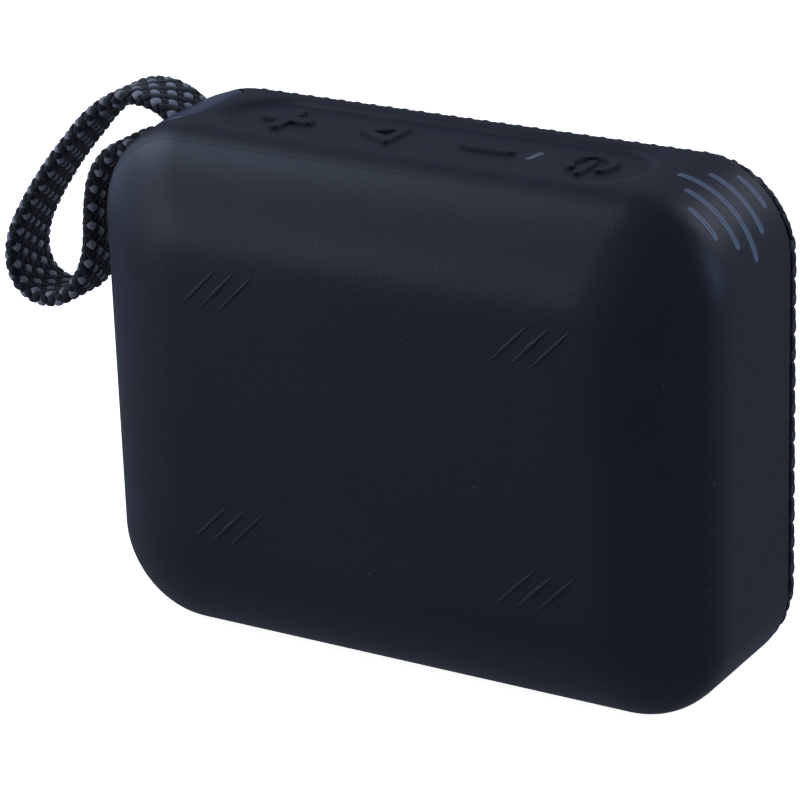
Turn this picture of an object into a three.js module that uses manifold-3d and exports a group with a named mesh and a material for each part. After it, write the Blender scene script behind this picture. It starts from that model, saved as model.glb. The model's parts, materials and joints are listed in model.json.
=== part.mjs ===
// Compact shower speaker: a rubber-skinned housing, a fabric grille and a strap at one corner.
// Millimetres, +Z up. The grille faces -Y and the strap hangs at the +X, +Z corner.
// The origin is under the middle of the body, on the surface that it stands on.

import * as THREE from 'three';
import { mergeVertices } from 'three/addons/utils/BufferGeometryUtils.js';
import Module from 'manifold-3d';

const wasm = await Module();
wasm.setup();

// ---------------------------------------------------------------- driving dimensions

// Body
const width = 108;
const height = 83.4;
const shellDepth = 32.4; // rim of the rubber skin to the flat of the back
const grilleProud = 4; // front of the fabric ahead of the rim
const cornerRadius = 15; // corners of the body seen from the front
const backCornerRadius = 5; // corners of the flat of the back
const shoulderInset = 16.2; // how far the soft shoulders draw in towards the back
const shoulderDepth = 10.1; // how much of the depth the shoulders take
const shoulderPower = 1.5; // 2 is an ellipse, less is softer

// Fits
const bond = 0.3; // gap between pieces that are bonded or touch
const slack = 0.3; // gap round a piece that moves or slips in

// Walls
const skinThickness = 1.7;
const tubWall = 2;
const pocketWall = 1.2; // wall of the strap pocket inside the tub

// Control strip on the top
const recessDepth = 0.9;
const recessSlope = 2; // run of its sloping wall
const recessLeft = -37;
const recessRight = 38.5;
const recessFront = 2; // behind the rim
const recessBack = 20;
const keyRowDepth = 10.7; // key centres behind the rim
const keyPitch = 17.8;
const keyFirst = 27; // x of the plus key
const keyPadRadius = 5.6;
const keyPadThickness = 0.5;
const keyTravel = 0.35;
const symbolHeight = 0.55;
const keyPostRadius = 1.5;
const lightX = -16.5;
const lightDepth = 10.2; // its centre behind the rim
const lightWidth = 1;
const lightLength = 3.8;

// Corner stripes and back ribs
const stripeWidth = 1.3;
const stripeDepth = 0.5;
const ribHeight = 0.3;
const ribWidth = 0.7;
const ribLength = 9.2;
const ribPitch = 3.4;
const ribGroupX = 27.4; // rib groups either side of the middle
const ribGroupRise = 19.6; // and above and below it

// Strap, its corner block and its pin
const strapWidth = 11;
const strapThickness = 2.5;
const strapDepth = 9.2; // middle of the strap behind the rim
const blockFront = 1; // block behind the rim
const blockBack = 17.3;
const blockHalf = 9.4; // half its width across the corner
const blockSeat = 3.4; // its foot, from the corner's centre
const blockEdge = 2.5; // rounded corners of the block
const slotLow = -6.8; // strap slot across the corner
const slotHigh = 5.4;
const slotFoot = 4.6;
const slotSide = 0.7; // beside the strap
const pinSeat = 9.33; // pin from the corner's centre
const pinRadius = 1.5;

// Front
const baffleInset = 0.5; // baffle behind the rim
const baffleThickness = 2.5;
const gasketWidth = 1.7;
const gasketThickness = 0.8;
const ledgeWidth = 2.2;
const ledgeThickness = 2;
const fabricThickness = 1;
const grilleThickness = 1.6;
const grilleSkirt = 1.6;
const grilleHoleRadius = 2.6;
const grilleHolePitch = 9.4;
const clipRadius = 1.4;

// Driver and passive radiator
const driverRadius = 22;
const driverMargin = 3.7; // from the inside of the tub
const acousticRise = 40.7; // height of both centres
const coneRadius = 17.5;
const coilRadius = 6;
const magnetRadius = 14;
const radiatorHeight = 50;
const radiatorGap = 5.5; // between driver and radiator
const radiatorRim = 3;
const surroundWidth = 4.8;
const radiatorThickness = 1.6;
const weightRadius = 6;
const weightThickness = 2.5;

// Boards, battery and port
const boardThickness = 1.6;
const boardDepth = 13.5; // main board behind the rim
const boardGap = 9.3; // magnet to the main board
const boardLow = 17;
const boardHigh = 46;
const batteryWidth = 26;
const batteryHeight = 40;
const batteryThickness = 7;
const padThickness = 0.8;
const portRise = 30.5;
const socketLong = 9;
const socketShort = 3.2;
const socketWall = 0.4;
const socketDepth = 7.4;
const flapHeight = 13;
const flapWidth = 9;
const flapThickness = 1.4;
const flapPlug = 1.3;
const buttonBoardThickness = 1.2;
const switchHeight = 2.5;
const switchSide = 4.5;
const switchDrop = 0.9; // top of a switch below the tub's roof

// Fasteners
const caseScrewRadius = 1;
const caseScrewMargin = 1.3; // round a case screw and its boss
const smallScrewRadius = 0.8;
const bossRadius = 3;
const boardBossRadius = 2.4;

// ---------------------------------------------------------------- worked-out places

const frontY = -(grilleProud + shellDepth + ribHeight) / 2;
const rimY = frontY + grilleProud;
const backY = rimY + shellDepth;
const shoulderY = backY - shoulderDepth;
const tubOffset = skinThickness + bond; // outside of the tub
const roomOffset = tubOffset + tubWall; // inside of the tub
const sideX = width / 2;
const cornerX = sideX - cornerRadius;
const cornerZ = height - cornerRadius;
const floorZ = height - recessDepth;
const tubTop = height - tubOffset;
const roomTop = height - roomOffset;
const roomBack = backY - roomOffset;
const keyY = rimY + keyRowDepth;
const lightY = rimY + lightDepth;
const keyPadFoot = floorZ - keyPadThickness;
const switchTop = roomTop - switchDrop;
const switchFoot = switchTop - switchHeight;
const keyPostFoot = switchTop + keyTravel + 0.2;
const buttonBoardTop = switchFoot - 0.05;
const buttonBoardFoot = buttonBoardTop - buttonBoardThickness;
const baffleFront = rimY + baffleInset;
const baffleBack = baffleFront + baffleThickness;
const gasketFront = baffleBack + bond;
const ledgeFront = gasketFront + gasketThickness + bond;
const chassisY = baffleBack + bond; // front of the driver's and radiator's frames
const driverX = -(sideX - roomOffset - driverMargin - driverRadius);
const radiatorLeft = driverX + driverRadius + radiatorGap;
const radiatorRight = sideX - roomOffset - driverMargin - slack * 10;
const radiatorX = (radiatorLeft + radiatorRight) / 2;
const boardFront = rimY + boardDepth;
const boardBack = boardFront + boardThickness;
const boardLeft = driverX + magnetRadius + boardGap;
const boardRight = sideX - roomOffset - 4;
const strapY = rimY + strapDepth;

const group = new THREE.Group();

// ---------------------------------------------------------------- solids from geometries

/** A closed geometry as a solid that can be joined and cut. */
function solid(geometry) {
  const bare = geometry.clone();
  bare.deleteAttribute('normal');
  bare.deleteAttribute('uv');
  const merged = mergeVertices(bare, 1e-4);
  const at = merged.attributes.position.array;
  const corners = [];
  let volume = 0;
  const [a, b, c] = [new THREE.Vector3(), new THREE.Vector3(), new THREE.Vector3()];
  for (let i = 0; i < merged.index.count; i += 3) {
    const [p, q, r] = [0, 1, 2].map((step) => merged.index.getX(i + step));
    if (p === q || q === r || r === p) continue; // a pole's empty triangle
    corners.push(p, q, r);
    a.fromArray(at, 3 * p);
    b.fromArray(at, 3 * q);
    c.fromArray(at, 3 * r);
    volume += a.dot(b.cross(c));
  }
  if (volume < 0) corners.reverse();
  const vertProperties = new Float32Array(at);
  const triVerts = new Uint32Array(corners);
  return new wasm.Manifold(new wasm.Mesh({ numProp: 3, vertProperties, triVerts }));
}

/** Adds one named piece to the model. */
function piece(name, body, finish) {
  const made = body.getMesh();
  const geometry = new THREE.BufferGeometry();
  geometry.setAttribute('position', new THREE.BufferAttribute(made.vertProperties, 3));
  geometry.setIndex(new THREE.BufferAttribute(made.triVerts, 1));
  geometry.computeVertexNormals();
  const [color, roughness, metalness] = finish;
  const mesh = new THREE.Mesh(geometry, new THREE.MeshStandardMaterial({ color, roughness, metalness }));
  mesh.name = name;
  group.add(mesh);
}

function joined(bodies) {
  return bodies.reduce((whole, body) => whole.add(body));
}

function cutBy(body, cutters) {
  return cutters.reduce((left, cutter) => left.subtract(cutter), body);
}

function block(x0, x1, y0, y1, z0, z1) {
  const box = new THREE.BoxGeometry(x1 - x0, y1 - y0, z1 - z0);
  return solid(box.translate((x0 + x1) / 2, (y0 + y1) / 2, (z0 + z1) / 2));
}

/** A prism of an outline in X and Y, standing along Z. */
function prismZ(shape, z0, z1, curveSegments = 8) {
  const made = new THREE.ExtrudeGeometry(shape, { depth: z1 - z0, bevelEnabled: false, curveSegments });
  return solid(made.translate(0, 0, z0));
}

/** A prism of an outline in X and Z, lying along Y. */
function prismY(shape, y0, y1, curveSegments = 8) {
  const made = new THREE.ExtrudeGeometry(shape, { depth: y1 - y0, bevelEnabled: false, curveSegments });
  return solid(made.rotateX(Math.PI / 2).translate(0, y1, 0));
}

/** A prism of an outline in Y and Z, lying along X. */
function prismX(shape, x0, x1, curveSegments = 8) {
  const made = new THREE.ExtrudeGeometry(shape, { depth: x1 - x0, bevelEnabled: false, curveSegments });
  const turn = new THREE.Matrix4().makeBasis(
    new THREE.Vector3(0, 1, 0),
    new THREE.Vector3(0, 0, 1),
    new THREE.Vector3(1, 0, 0),
  );
  return solid(made.applyMatrix4(turn).translate(x0, 0, 0));
}

function rodZ(x, y, radius, z0, z1, sides = 16) {
  const rod = new THREE.CylinderGeometry(radius, radius, z1 - z0, sides);
  return solid(rod.rotateX(Math.PI / 2).translate(x, y, (z0 + z1) / 2));
}

function rodY(x, z, radius, y0, y1, sides = 16) {
  const rod = new THREE.CylinderGeometry(radius, radius, y1 - y0, sides);
  return solid(rod.translate(x, (y0 + y1) / 2, z));
}

/** A body turned about the line along Y through x and z; its profile is radius and y. */
function turned(profile, x, z, sides = 24) {
  const points = profile.map(([radius, y]) => new THREE.Vector2(radius, y));
  points.push(points[0].clone());
  return solid(new THREE.LatheGeometry(points, sides).translate(x, 0, z));
}

function roundedRect(x0, x1, y0, y1, radius) {
  const shape = new THREE.Shape();
  shape.absarc(x1 - radius, y0 + radius, radius, -Math.PI / 2, 0);
  shape.absarc(x1 - radius, y1 - radius, radius, 0, Math.PI / 2);
  shape.absarc(x0 + radius, y1 - radius, radius, Math.PI / 2, Math.PI);
  shape.absarc(x0 + radius, y0 + radius, radius, Math.PI, 1.5 * Math.PI);
  return shape;
}

// ---------------------------------------------------------------- the body's own surface

/** Points of a rounded rectangle in X and Z about the middle of the body. */
function bodyOutline(halfWidth, halfHeight, radius, steps = 6) {
  const points = [];
  const corners = [[1, 1], [-1, 1], [-1, -1], [1, -1]];
  corners.forEach(([right, up], quarter) => {
    for (let k = 0; k <= steps; k += 1) {
      const angle = ((quarter + k / steps) * Math.PI) / 2;
      const x = right * (halfWidth - radius) + radius * Math.cos(angle);
      const z = up * (halfHeight - radius) + radius * Math.sin(angle);
      points.push([x, height / 2 + z]);
    }
  });
  return points;
}

/** A solid through a row of outlines, each at its own y and with as many points as the last. */
function loft(stations) {
  const around = stations[0].outline.length;
  const positions = [];
  const index = [];
  stations.forEach(({ y, outline }) => outline.forEach(([x, z]) => positions.push(x, y, z)));
  for (let row = 0; row + 1 < stations.length; row += 1) {
    for (let k = 0; k < around; k += 1) {
      const next = (k + 1) % around;
      const [near, far] = [row * around, (row + 1) * around];
      index.push(near + k, near + next, far + next, near + k, far + next, far + k);
    }
  }
  const last = (stations.length - 1) * around;
  for (let k = 1; k + 1 < around; k += 1) {
    index.push(0, k + 1, k, last, last + k, last + k + 1);
  }
  const geometry = new THREE.BufferGeometry();
  geometry.setAttribute('position', new THREE.Float32BufferAttribute(positions, 3));
  geometry.setIndex(index);
  return solid(geometry);
}

/** One outline of the body drawn in by `inset` on its shoulder and `offset` through its walls. */
function station(y, inset, offset) {
  const drawn = inset + offset;
  const share = inset / shoulderInset;
  const radius = cornerRadius + (backCornerRadius - cornerRadius) * share - offset;
  return { y, outline: bodyOutline(width / 2 - drawn, height / 2 - drawn, Math.max(radius, 1)) };
}

/** The body from `fromY` to its back, `offset` inside the outer surface. */
function pillow(offset, fromY) {
  const stations = [station(fromY, 0, offset)];
  const steps = 6;
  const power = 2 / shoulderPower;
  for (let k = 0; k <= steps; k += 1) {
    const angle = ((k / steps) * Math.PI) / 2;
    const inset = shoulderInset * (1 - Math.cos(angle) ** power);
    const y = shoulderY + (shoulderDepth - offset) * Math.sin(angle) ** power;
    stations.push(station(y, Math.min(inset, shoulderInset), offset));
  }
  return loft(stations);
}

/** A straight slab of the body's outline. */
function slab(offset, y0, y1) {
  return loft([station(y0, 0, offset), station(y1, 0, offset)]);
}

/** The rounded front, `offset` inside the fabric's outer surface, from its front to `toY`. */
function frontCushion(offset, toY) {
  const edge = grilleProud - bond;
  const steps = 4;
  const stations = [];
  for (let k = steps; k >= 0; k -= 1) {
    const angle = ((k / steps) * Math.PI) / 2;
    const inset = bond + edge * (1 - Math.cos(angle));
    stations.push(station(rimY - bond - (edge - offset) * Math.sin(angle), inset, offset));
  }
  stations[stations.length - 1].y = toY;
  return loft(stations);
}

// ---------------------------------------------------------------- the strap's corner

/** The block's space at the strap corner, grown by `grow` all round. */
function cornerPlug(grow) {
  const low = rimY + blockFront - grow;
  const high = rimY + blockBack + grow;
  const half = blockHalf + grow;
  return acrossCorner(roundedRect(low, high, -half, half, blockEdge + grow), blockSeat - grow, cornerRadius + 5);
}

/** A prism along the line out of the strap corner; its outline is y and the place across it. */
function acrossCorner(shape, from, to) {
  const depth = to - from;
  const made = new THREE.ExtrudeGeometry(shape, { depth, bevelEnabled: false, curveSegments: 4 });
  const out = new THREE.Vector3(1, 0, 1).normalize();
  const across = new THREE.Vector3(-1, 0, 1).normalize();
  const along = new THREE.Vector3(0, 1, 0);
  made.applyMatrix4(new THREE.Matrix4().makeBasis(along, across, out));
  return solid(made.translate(cornerX + out.x * from, 0, cornerZ + out.z * from));
}

/** The room inside the tub less the strap's pocket, `clear` away from their walls. */
function room(clear, y0, y1) {
  const hollow = y1 > shoulderY ? pillow(roomOffset + clear, y0) : slab(roomOffset + clear, y0, y1);
  return hollow.subtract(cornerPlug(slack + pocketWall + clear));
}

// ---------------------------------------------------------------- finishes

const silicone = [0x22252e, 0.55, 0];
const softSymbol = [0x1a1d25, 0.6, 0];
const stripeInk = [0x5b6878, 0.5, 0];
const abs = [0x1b1c20, 0.5, 0];
const capPlastic = [0x2a3042, 0.35, 0];
const yarn = [0x0e0f16, 0.9, 0];
const steel = [0xb8bcc2, 0.3, 1];
const blackSteel = [0x2b2c30, 0.45, 1];
const foam = [0x1f1f1f, 0.95, 0];
const fibreglass = [0x14452c, 0.5, 0];
const paper = [0x1c1c1e, 0.85, 0];
const copper = [0xb06a35, 0.35, 1];
const ferrite = [0x33343a, 0.5, 0.2];
const foil = [0x8f959c, 0.4, 0.3];
const diffuser = [0xa9b4c2, 0.3, 0];
const butyl = [0x151517, 0.7, 0];

// ---------------------------------------------------------------- controls on the top

const keyX = [0, 1, 2, 3].map((place) => keyFirst - place * keyPitch);

function bar(x0, x1, y0, y1) {
  return roundedRect(x0, x1, y0, y1, 0.45);
}

function plusShapes() {
  return [bar(-4.7, 4.7, -1.1, 1.1), bar(-1.1, 1.1, -4.7, 4.7)];
}

function playShapes() {
  const outline = new THREE.Shape([new THREE.Vector2(-2.4, -4), new THREE.Vector2(4.8, 0), new THREE.Vector2(-2.4, 4)]);
  const inside = [new THREE.Vector2(-1, -1.9), new THREE.Vector2(2.2, 0), new THREE.Vector2(-1, 1.9)];
  outline.holes.push(new THREE.Path(inside));
  return [outline];
}

function minusShapes() {
  return [bar(-4.7, 4.7, -0.9, 0.9)];
}

function powerShapes() {
  const gap = 0.73; // half of the ring's opening, radians
  const ring = new THREE.Shape();
  ring.absarc(0, 0, 4.1, Math.PI / 2 + gap, Math.PI * 2.5 - gap);
  ring.absarc(0, 0, 2.6, Math.PI * 2.5 - gap, Math.PI / 2 + gap, true);
  return [ring, bar(-0.75, 0.75, -0.7, 5.2)];
}

const keySymbols = {
  plus_button: plusShapes(),
  play_button: playShapes(),
  minus_button: minusShapes(),
  power_button: powerShapes(),
};


function makeKeys() {
  Object.entries(keySymbols).forEach(([name, shapes], place) => {
    const x = keyX[place];
    const symbols = shapes.map((shape) => (
      prismZ(shape, keyPadFoot + 0.1, floorZ + symbolHeight, 3).translate([x, keyY, 0])
    ));
    const pad = rodZ(x, keyY, keyPadRadius, keyPadFoot, floorZ, 20);
    const post = rodZ(x, keyY, keyPostRadius, keyPostFoot, floorZ - 0.1, 12);
    piece(name, joined([pad, post, ...symbols]), softSymbol);
  });
}

/** The openings that the keys and the status light need, `clear` wider than they are. */
function keyOpenings(radius, z0, z1, clear) {
  const holes = keyX.map((x) => rodZ(x, keyY, radius + clear, z0, z1, 20));
  return [...holes, lightSlot(clear, z0, z1)];
}

function lightSlot(grow, z0, z1) {
  const [halfX, halfY] = [lightWidth / 2 + grow, lightLength / 2 + grow];
  return block(lightX - halfX, lightX + halfX, lightY - halfY, lightY + halfY, z0, z1);
}

function controlRecess() {
  const radius = (recessBack - recessFront) / 2;
  const outline = (draw) => roundedRect(
    recessLeft + draw, recessRight - draw, rimY + recessFront + draw, rimY + recessBack - draw, radius - draw - 0.01,
  );
  const steps = 4;
  const layers = [];
  for (let k = 0; k < steps; k += 1) {
    const foot = floorZ + (recessDepth * k) / steps;
    layers.push(prismZ(outline(recessSlope * (1 - (k + 0.5) / steps)), foot, height + 1, 6));
  }
  return joined(layers);
}

function makeControlElectronics() {
  const [boardFoot, boardTop] = [buttonBoardFoot, buttonBoardTop];
  const left = keyX[3] - 10;
  const right = keyX[0] + switchSide / 2 + 1;
  const screwX = [left + 2.6, (keyX[0] + keyX[1]) / 2];
  const plate = block(left, right, keyY - 5.5, keyY + 5.5, boardFoot, boardTop);
  piece('button_board', cutBy(plate, screwX.map((x) => (
    rodZ(x, keyY, smallScrewRadius + slack, boardFoot - 1, boardTop + 1, 12)
  ))), fibreglass);
  keyX.forEach((x, place) => {
    const half = switchSide / 2;
    const base = block(x - half, x + half, keyY - half, keyY + half, switchFoot, switchTop - 0.9);
    const plunger = rodZ(x, keyY, 1.1, switchTop - 1, switchTop, 12);
    piece(`tact_switch_${place + 1}`, base.add(plunger), blackSteel);
  });
  piece('status_led', block(lightX - 0.8, lightX + 0.8, lightY - 1.2, lightY + 1.2, switchFoot, switchFoot + 0.8), diffuser);
  piece('status_light_pipe', lightSlot(0, switchFoot + 1.4, floorZ + 0.05), diffuser);
  screwX.forEach((x, place) => {
    const head = rodZ(x, keyY, 1.5, boardFoot - bond - 0.9, boardFoot - bond, 12);
    const shank = rodZ(x, keyY, smallScrewRadius, boardFoot - bond - 0.1, roomTop + 0.2, 12);
    piece(`button_board_screw_${place + 1}`, head.add(shank), steel);
  });
  return screwX.map((x) => ({ x, foot: boardTop + bond }));
}

// ---------------------------------------------------------------- corner stripes and back ribs

// Depth behind the rim, and where each stripe starts and ends round the corner, in degrees.
const stripes = [
  { depth: 3, from: 35, to: 60 },
  { depth: 7, from: 24, to: 71 },
  { depth: 11, from: 12, to: 83 },
  { depth: 15, from: 24, to: 71 },
  { depth: 19.2, from: 35, to: 60 },
];

/** A stripe's solid round the left-hand top corner, from `deep` below the surface to `proud` above it. */
function stripeBand({ depth, from, to }, grow, deep, proud) {
  const spread = THREE.MathUtils.radToDeg(grow / cornerRadius);
  const [start, end] = [180 - to - spread, 180 - from + spread].map(THREE.MathUtils.degToRad);
  const band = new THREE.Shape();
  band.absarc(-cornerX, cornerZ, cornerRadius + proud, start, end);
  band.absarc(-cornerX, cornerZ, cornerRadius - deep, end, start, true);
  const half = stripeWidth / 2 + grow;
  return prismY(band, rimY + depth - half, rimY + depth + half, 5);
}

function makeStripes() {
  stripes.forEach((stripe, place) => {
    piece(`corner_stripe_${place + 1}`, stripeBand(stripe, 0, stripeDepth, 0), stripeInk);
  });
}

function backRibs() {
  const ribs = [];
  for (const side of [-1, 1]) {
    for (const level of [-1, 1]) {
      for (const place of [-1, 0, 1]) {
        const rib = block(-ribLength / 2, ribLength / 2, backY - 0.6, backY + ribHeight, -ribWidth / 2, ribWidth / 2);
        const x = side * ribGroupX + place * ribPitch;
        const z = height / 2 + level * ribGroupRise;
        ribs.push(rib.rotate([0, 45, 0]).translate([x, 0, z]));
      }
    }
  }
  return ribs;
}

// ---------------------------------------------------------------- port on the right-hand side

const portY = boardFront - bond - socketShort / 2;
const flapOuter = sideX;
const flapInner = sideX - flapThickness;
const flapHingeX = (flapOuter + flapInner) / 2;
const flapFoot = portRise - flapHeight / 2;
const flapHingeZ = flapFoot + flapThickness / 2;

/** A port-shaped solid along X, `grow` wider all round than the socket. */
function portHole(grow, x0, x1) {
  const [halfY, halfZ] = [socketShort / 2 + grow, socketLong / 2 + grow];
  const outline = roundedRect(portY - halfY, portY + halfY, portRise - halfZ, portRise + halfZ, halfY - 0.01);
  return prismX(outline, x0, x1, 4);
}

function flapPocket() {
  const swing = Math.hypot(flapThickness / 2, flapThickness / 2) + slack;
  const half = flapWidth / 2 + slack;
  const top = flapFoot + flapHeight + slack;
  return block(sideX - tubOffset - 0.1, sideX + 1, portY - half, portY + half, flapHingeZ - swing, top);
}

function makePort() {
  const outline = roundedRect(portY - flapWidth / 2, portY + flapWidth / 2, flapFoot, flapFoot + flapHeight, 0.6);
  const plug = portHole(0.2, flapInner - flapPlug, flapInner + 0.1);
  piece('port_flap', prismX(outline, flapInner, flapOuter, 3).add(plug), silicone);
  const mouth = flapInner - flapPlug - bond;
  const shell = portHole(0, mouth - socketDepth, mouth);
  const hollow = portHole(-socketWall, mouth - socketDepth + 1, mouth + 1);
  const tongue = block(mouth - socketDepth + 0.5, mouth - 1, portY - 0.35, portY + 0.35, portRise - 3.3, portRise + 3.3);
  piece('usb_c_socket', shell.subtract(hollow).add(tongue), steel);
}

// ---------------------------------------------------------------- fasteners

// Three stand inside the corners' gasket, and the fourth beside the strap's pocket, under the button board.
const gasketInner = cornerRadius - roomOffset - slack - gasketWidth;
const caseScrewOut = (gasketInner - caseScrewRadius - slack - caseScrewMargin) * Math.SQRT1_2;
const caseScrews = [
  [-(cornerX + caseScrewOut), cornerRadius - caseScrewOut],
  [cornerX + caseScrewOut, cornerRadius - caseScrewOut],
  [-(cornerX + caseScrewOut), cornerZ + caseScrewOut],
  [cornerX - 9.5, buttonBoardFoot - bossRadius - caseScrewMargin],
];

const boardBosses = [
  [boardRight - 5, boardLow + 3],
  [boardRight - 5, boardHigh - 3],
  [boardLeft + 3.5, portRise],
];
const batteryLeft = boardBosses[2][0] + boardBossRadius + 1.6;

/** A pan-head screw driven along +Y, its head's seat at `seat`. */
function screwBody(x, z, seat, radius, length) {
  const head = radius * 2;
  return turned([
    [0, seat - radius * 1.1],
    [head * 0.75, seat - radius * 1.1],
    [head, seat - radius * 0.6],
    [head, seat],
    [radius, seat],
    [radius, seat + length - radius],
    [radius * 0.3, seat + length],
    [0, seat + length],
  ], x, z, 8);
}

const driverEars = [45, 135, 225, 315].map((degrees) => {
  const angle = THREE.MathUtils.degToRad(degrees);
  const reach = driverRadius + 1.2;
  return [driverX + reach * Math.cos(angle), acousticRise + reach * Math.sin(angle)];
});

function makeScrews() {
  caseScrews.forEach(([x, z], place) => {
    piece(`case_screw_${place + 1}`, screwBody(x, z, baffleFront + 1.5 - bond, caseScrewRadius, 9), steel);
  });
  driverEars.forEach(([x, z], place) => {
    const length = 1.6 + bond * 2 + 1.8;
    const body = screwBody(x, z, 0, smallScrewRadius, length).mirror([0, 1, 0]);
    piece(`driver_screw_${place + 1}`, body.translate([0, chassisY + 1.6 + bond, 0]), steel);
  });
  boardBosses.forEach(([x, z], place) => {
    piece(`main_board_screw_${place + 1}`, screwBody(x, z, boardFront - bond, smallScrewRadius, 5), steel);
  });
}

// ---------------------------------------------------------------- housing

function makeSkin() {
  const skin = pillow(0, rimY).subtract(pillow(skinThickness, rimY - 1));
  const ribbed = joined([skin, ...backRibs()]);
  const openings = [
    controlRecess(),
    ...keyOpenings(keyPadRadius, tubTop, height, slack),
    cornerPlug(slack),
    flapPocket(),
    ...stripes.map((stripe) => stripeBand(stripe, slack, stripeDepth + bond, 1)),
  ];
  piece('rubber_skin', cutBy(ribbed, openings), silicone);
}

function makeTub(buttonBosses) {
  const outside = pillow(tubOffset, rimY);
  const wall = outside.subtract(room(0, rimY - 1, backY));
  const ledge = room(-0.1, ledgeFront, ledgeFront + ledgeThickness)
    .subtract(room(ledgeWidth, ledgeFront - 1, ledgeFront + ledgeThickness + 1));
  const caseBosses = caseScrews.map(([x, z]) => rodY(x, z, bossRadius, ledgeFront, backY).intersect(outside));
  const boardPosts = boardBosses.map(([x, z]) => (
    rodY(x, z, boardBossRadius, boardBack + bond, backY).intersect(outside)
  ));
  const hangers = buttonBosses.map(({ x, foot }) => rodZ(x, keyY, boardBossRadius, foot, tubTop - 0.5));
  const body = joined([wall, ledge, ...caseBosses, ...boardPosts, ...hangers]);
  const pilots = [
    ...caseScrews.map(([x, z]) => rodY(x, z, caseScrewRadius + slack, ledgeFront - 1, baffleFront + 12, 12)),
    ...boardBosses.map(([x, z]) => rodY(x, z, smallScrewRadius + slack, boardBack, boardFront + 6, 12)),
    ...buttonBosses.map(({ x, foot }) => rodZ(x, keyY, smallScrewRadius + slack, foot - 1, roomTop + 0.6, 12)),
  ];
  const openings = [
    ...keyOpenings(keyPostRadius, roomTop - 1, tubTop + 1, slack),
    cornerPlug(slack),
    portHole(0.6, sideX - roomOffset - 1, sideX),
  ];
  piece('rear_housing', cutBy(body, [...pilots, ...openings]), abs);
}

const clipPlaces = [
  [-(sideX - 8), acousticRise - 21],
  [-(sideX - 8), acousticRise + 21],
  [sideX - 8, acousticRise - 21],
  [sideX - 8, acousticRise + 12],
];

function makeFront() {
  const radiatorOpening = roundedRect(
    radiatorLeft + radiatorRim, radiatorRight - radiatorRim,
    acousticRise - radiatorHeight / 2 + radiatorRim, acousticRise + radiatorHeight / 2 - radiatorRim, 7,
  );
  const plate = room(slack, baffleFront, baffleBack);
  const openings = [
    rodY(driverX, acousticRise, coneRadius + 2.4, baffleFront - 1, baffleBack + 1, 32),
    prismY(radiatorOpening, baffleFront - 1, baffleBack + 1, 5),
    ...caseScrews.map(([x, z]) => rodY(x, z, caseScrewRadius + slack, baffleFront - 1, baffleBack + 1, 12)),
    ...caseScrews.map(([x, z]) => rodY(x, z, caseScrewRadius * 2 + slack, baffleFront - 1, baffleFront + 1.5, 16)),
    ...driverEars.map(([x, z]) => rodY(x, z, smallScrewRadius + slack, baffleFront + 0.4, baffleBack + 1, 12)),
    ...clipPlaces.map(([x, z]) => rodY(x, z, clipRadius + slack, baffleFront - 1, baffleBack + 1, 12)),
  ];
  piece('front_baffle', cutBy(plate, openings), abs);

  const ring = room(slack, gasketFront, gasketFront + gasketThickness)
    .subtract(room(slack + gasketWidth, gasketFront - 1, gasketFront + gasketThickness + 1));
  piece('baffle_gasket', ring, foam);

  const plateOffset = fabricThickness + bond;
  const grilleBody = frontCushion(plateOffset, rimY - bond);
  const plateBack = frontY + plateOffset + grilleThickness;
  const hollow = slab(plateOffset + bond + grilleSkirt, plateBack, rimY + 1);
  const holes = [];
  const columns = Math.floor((width - 2 * cornerRadius + 6) / grilleHolePitch);
  const rows = Math.floor((height - 2 * cornerRadius + 10) / grilleHolePitch);
  for (let column = 0; column <= columns; column += 1) {
    for (let row = 0; row <= rows; row += 1) {
      const x = (column - columns / 2) * grilleHolePitch;
      const z = height / 2 + (row - rows / 2) * grilleHolePitch;
      holes.push(rodY(x, z, grilleHoleRadius, frontY, plateBack + 0.5, 6));
    }
  }
  const clips = clipPlaces.map(([x, z]) => rodY(x, z, clipRadius, plateBack - 0.4, baffleBack - 0.6, 12));
  piece('grille_plate', joined([cutBy(grilleBody, [hollow, ...holes]), ...clips]), blackSteel);

  const cover = frontCushion(0, rimY - bond).subtract(frontCushion(fabricThickness, rimY + 1));
  piece('grille_fabric', cover, yarn);
}

// ---------------------------------------------------------------- strap corner

const pinX = cornerX + pinSeat * Math.SQRT1_2;
const pinZ = cornerZ + pinSeat * Math.SQRT1_2;

function makeStrapBlock() {
  const side = strapWidth / 2 + slotSide;
  const slot = acrossCorner(
    roundedRect(strapY - side, strapY + side, slotLow, slotHigh, 0.6), slotFoot, cornerRadius + 5,
  );
  const pinHole = rodY(pinX, pinZ, pinRadius + slack / 2, strapY - side - 1.2, strapY + side + 1.2, 16);
  const block = cornerPlug(0).intersect(pillow(0, rimY));
  piece('strap_block', cutBy(block, [slot, pinHole]), capPlastic);
  piece('strap_pin', rodY(pinX, pinZ, pinRadius, strapY - side - 1, strapY + side + 1, 16), steel);
}

// Middle of the strap in X and Z from the pin: round the pin, out of the slot, round its loop and back.
const strapRoute = [
  [-2.16, -1.94], [-2.9, 0], [-2.5, 1.5], [-1.4, 3.4], [0.1, 5.1], [2, 6.6], [4.4, 7.9], [7.5, 8.6],
  [10.9, 8.3], [13.8, 7], [16.6, 5], [19, 2.8], [21.3, 0.2], [23.5, -2.3], [25.7, -4.9], [27.9, -7.8],
  [29.9, -10.6], [31.7, -13.4], [33.4, -16.4], [34.6, -19.7], [34.9, -23.1], [33.8, -26.1], [31.2, -28],
  [27.7, -28.3], [24.5, -27.1], [21.9, -24.4], [20.1, -21.1], [19.1, -17.5], [18.8, -14.1],
  [18.4, -10.7], [17.7, -7.2], [16.3, -4.1], [13.9, -1.5], [11.2, -0.1], [8.6, 0.3], [6.2, -0.4],
  [3.8, -1.7], [2, -2.4], [0.7, -2.8], [-0.4, -2.85], [-1.4, -2.5],
];

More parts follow.
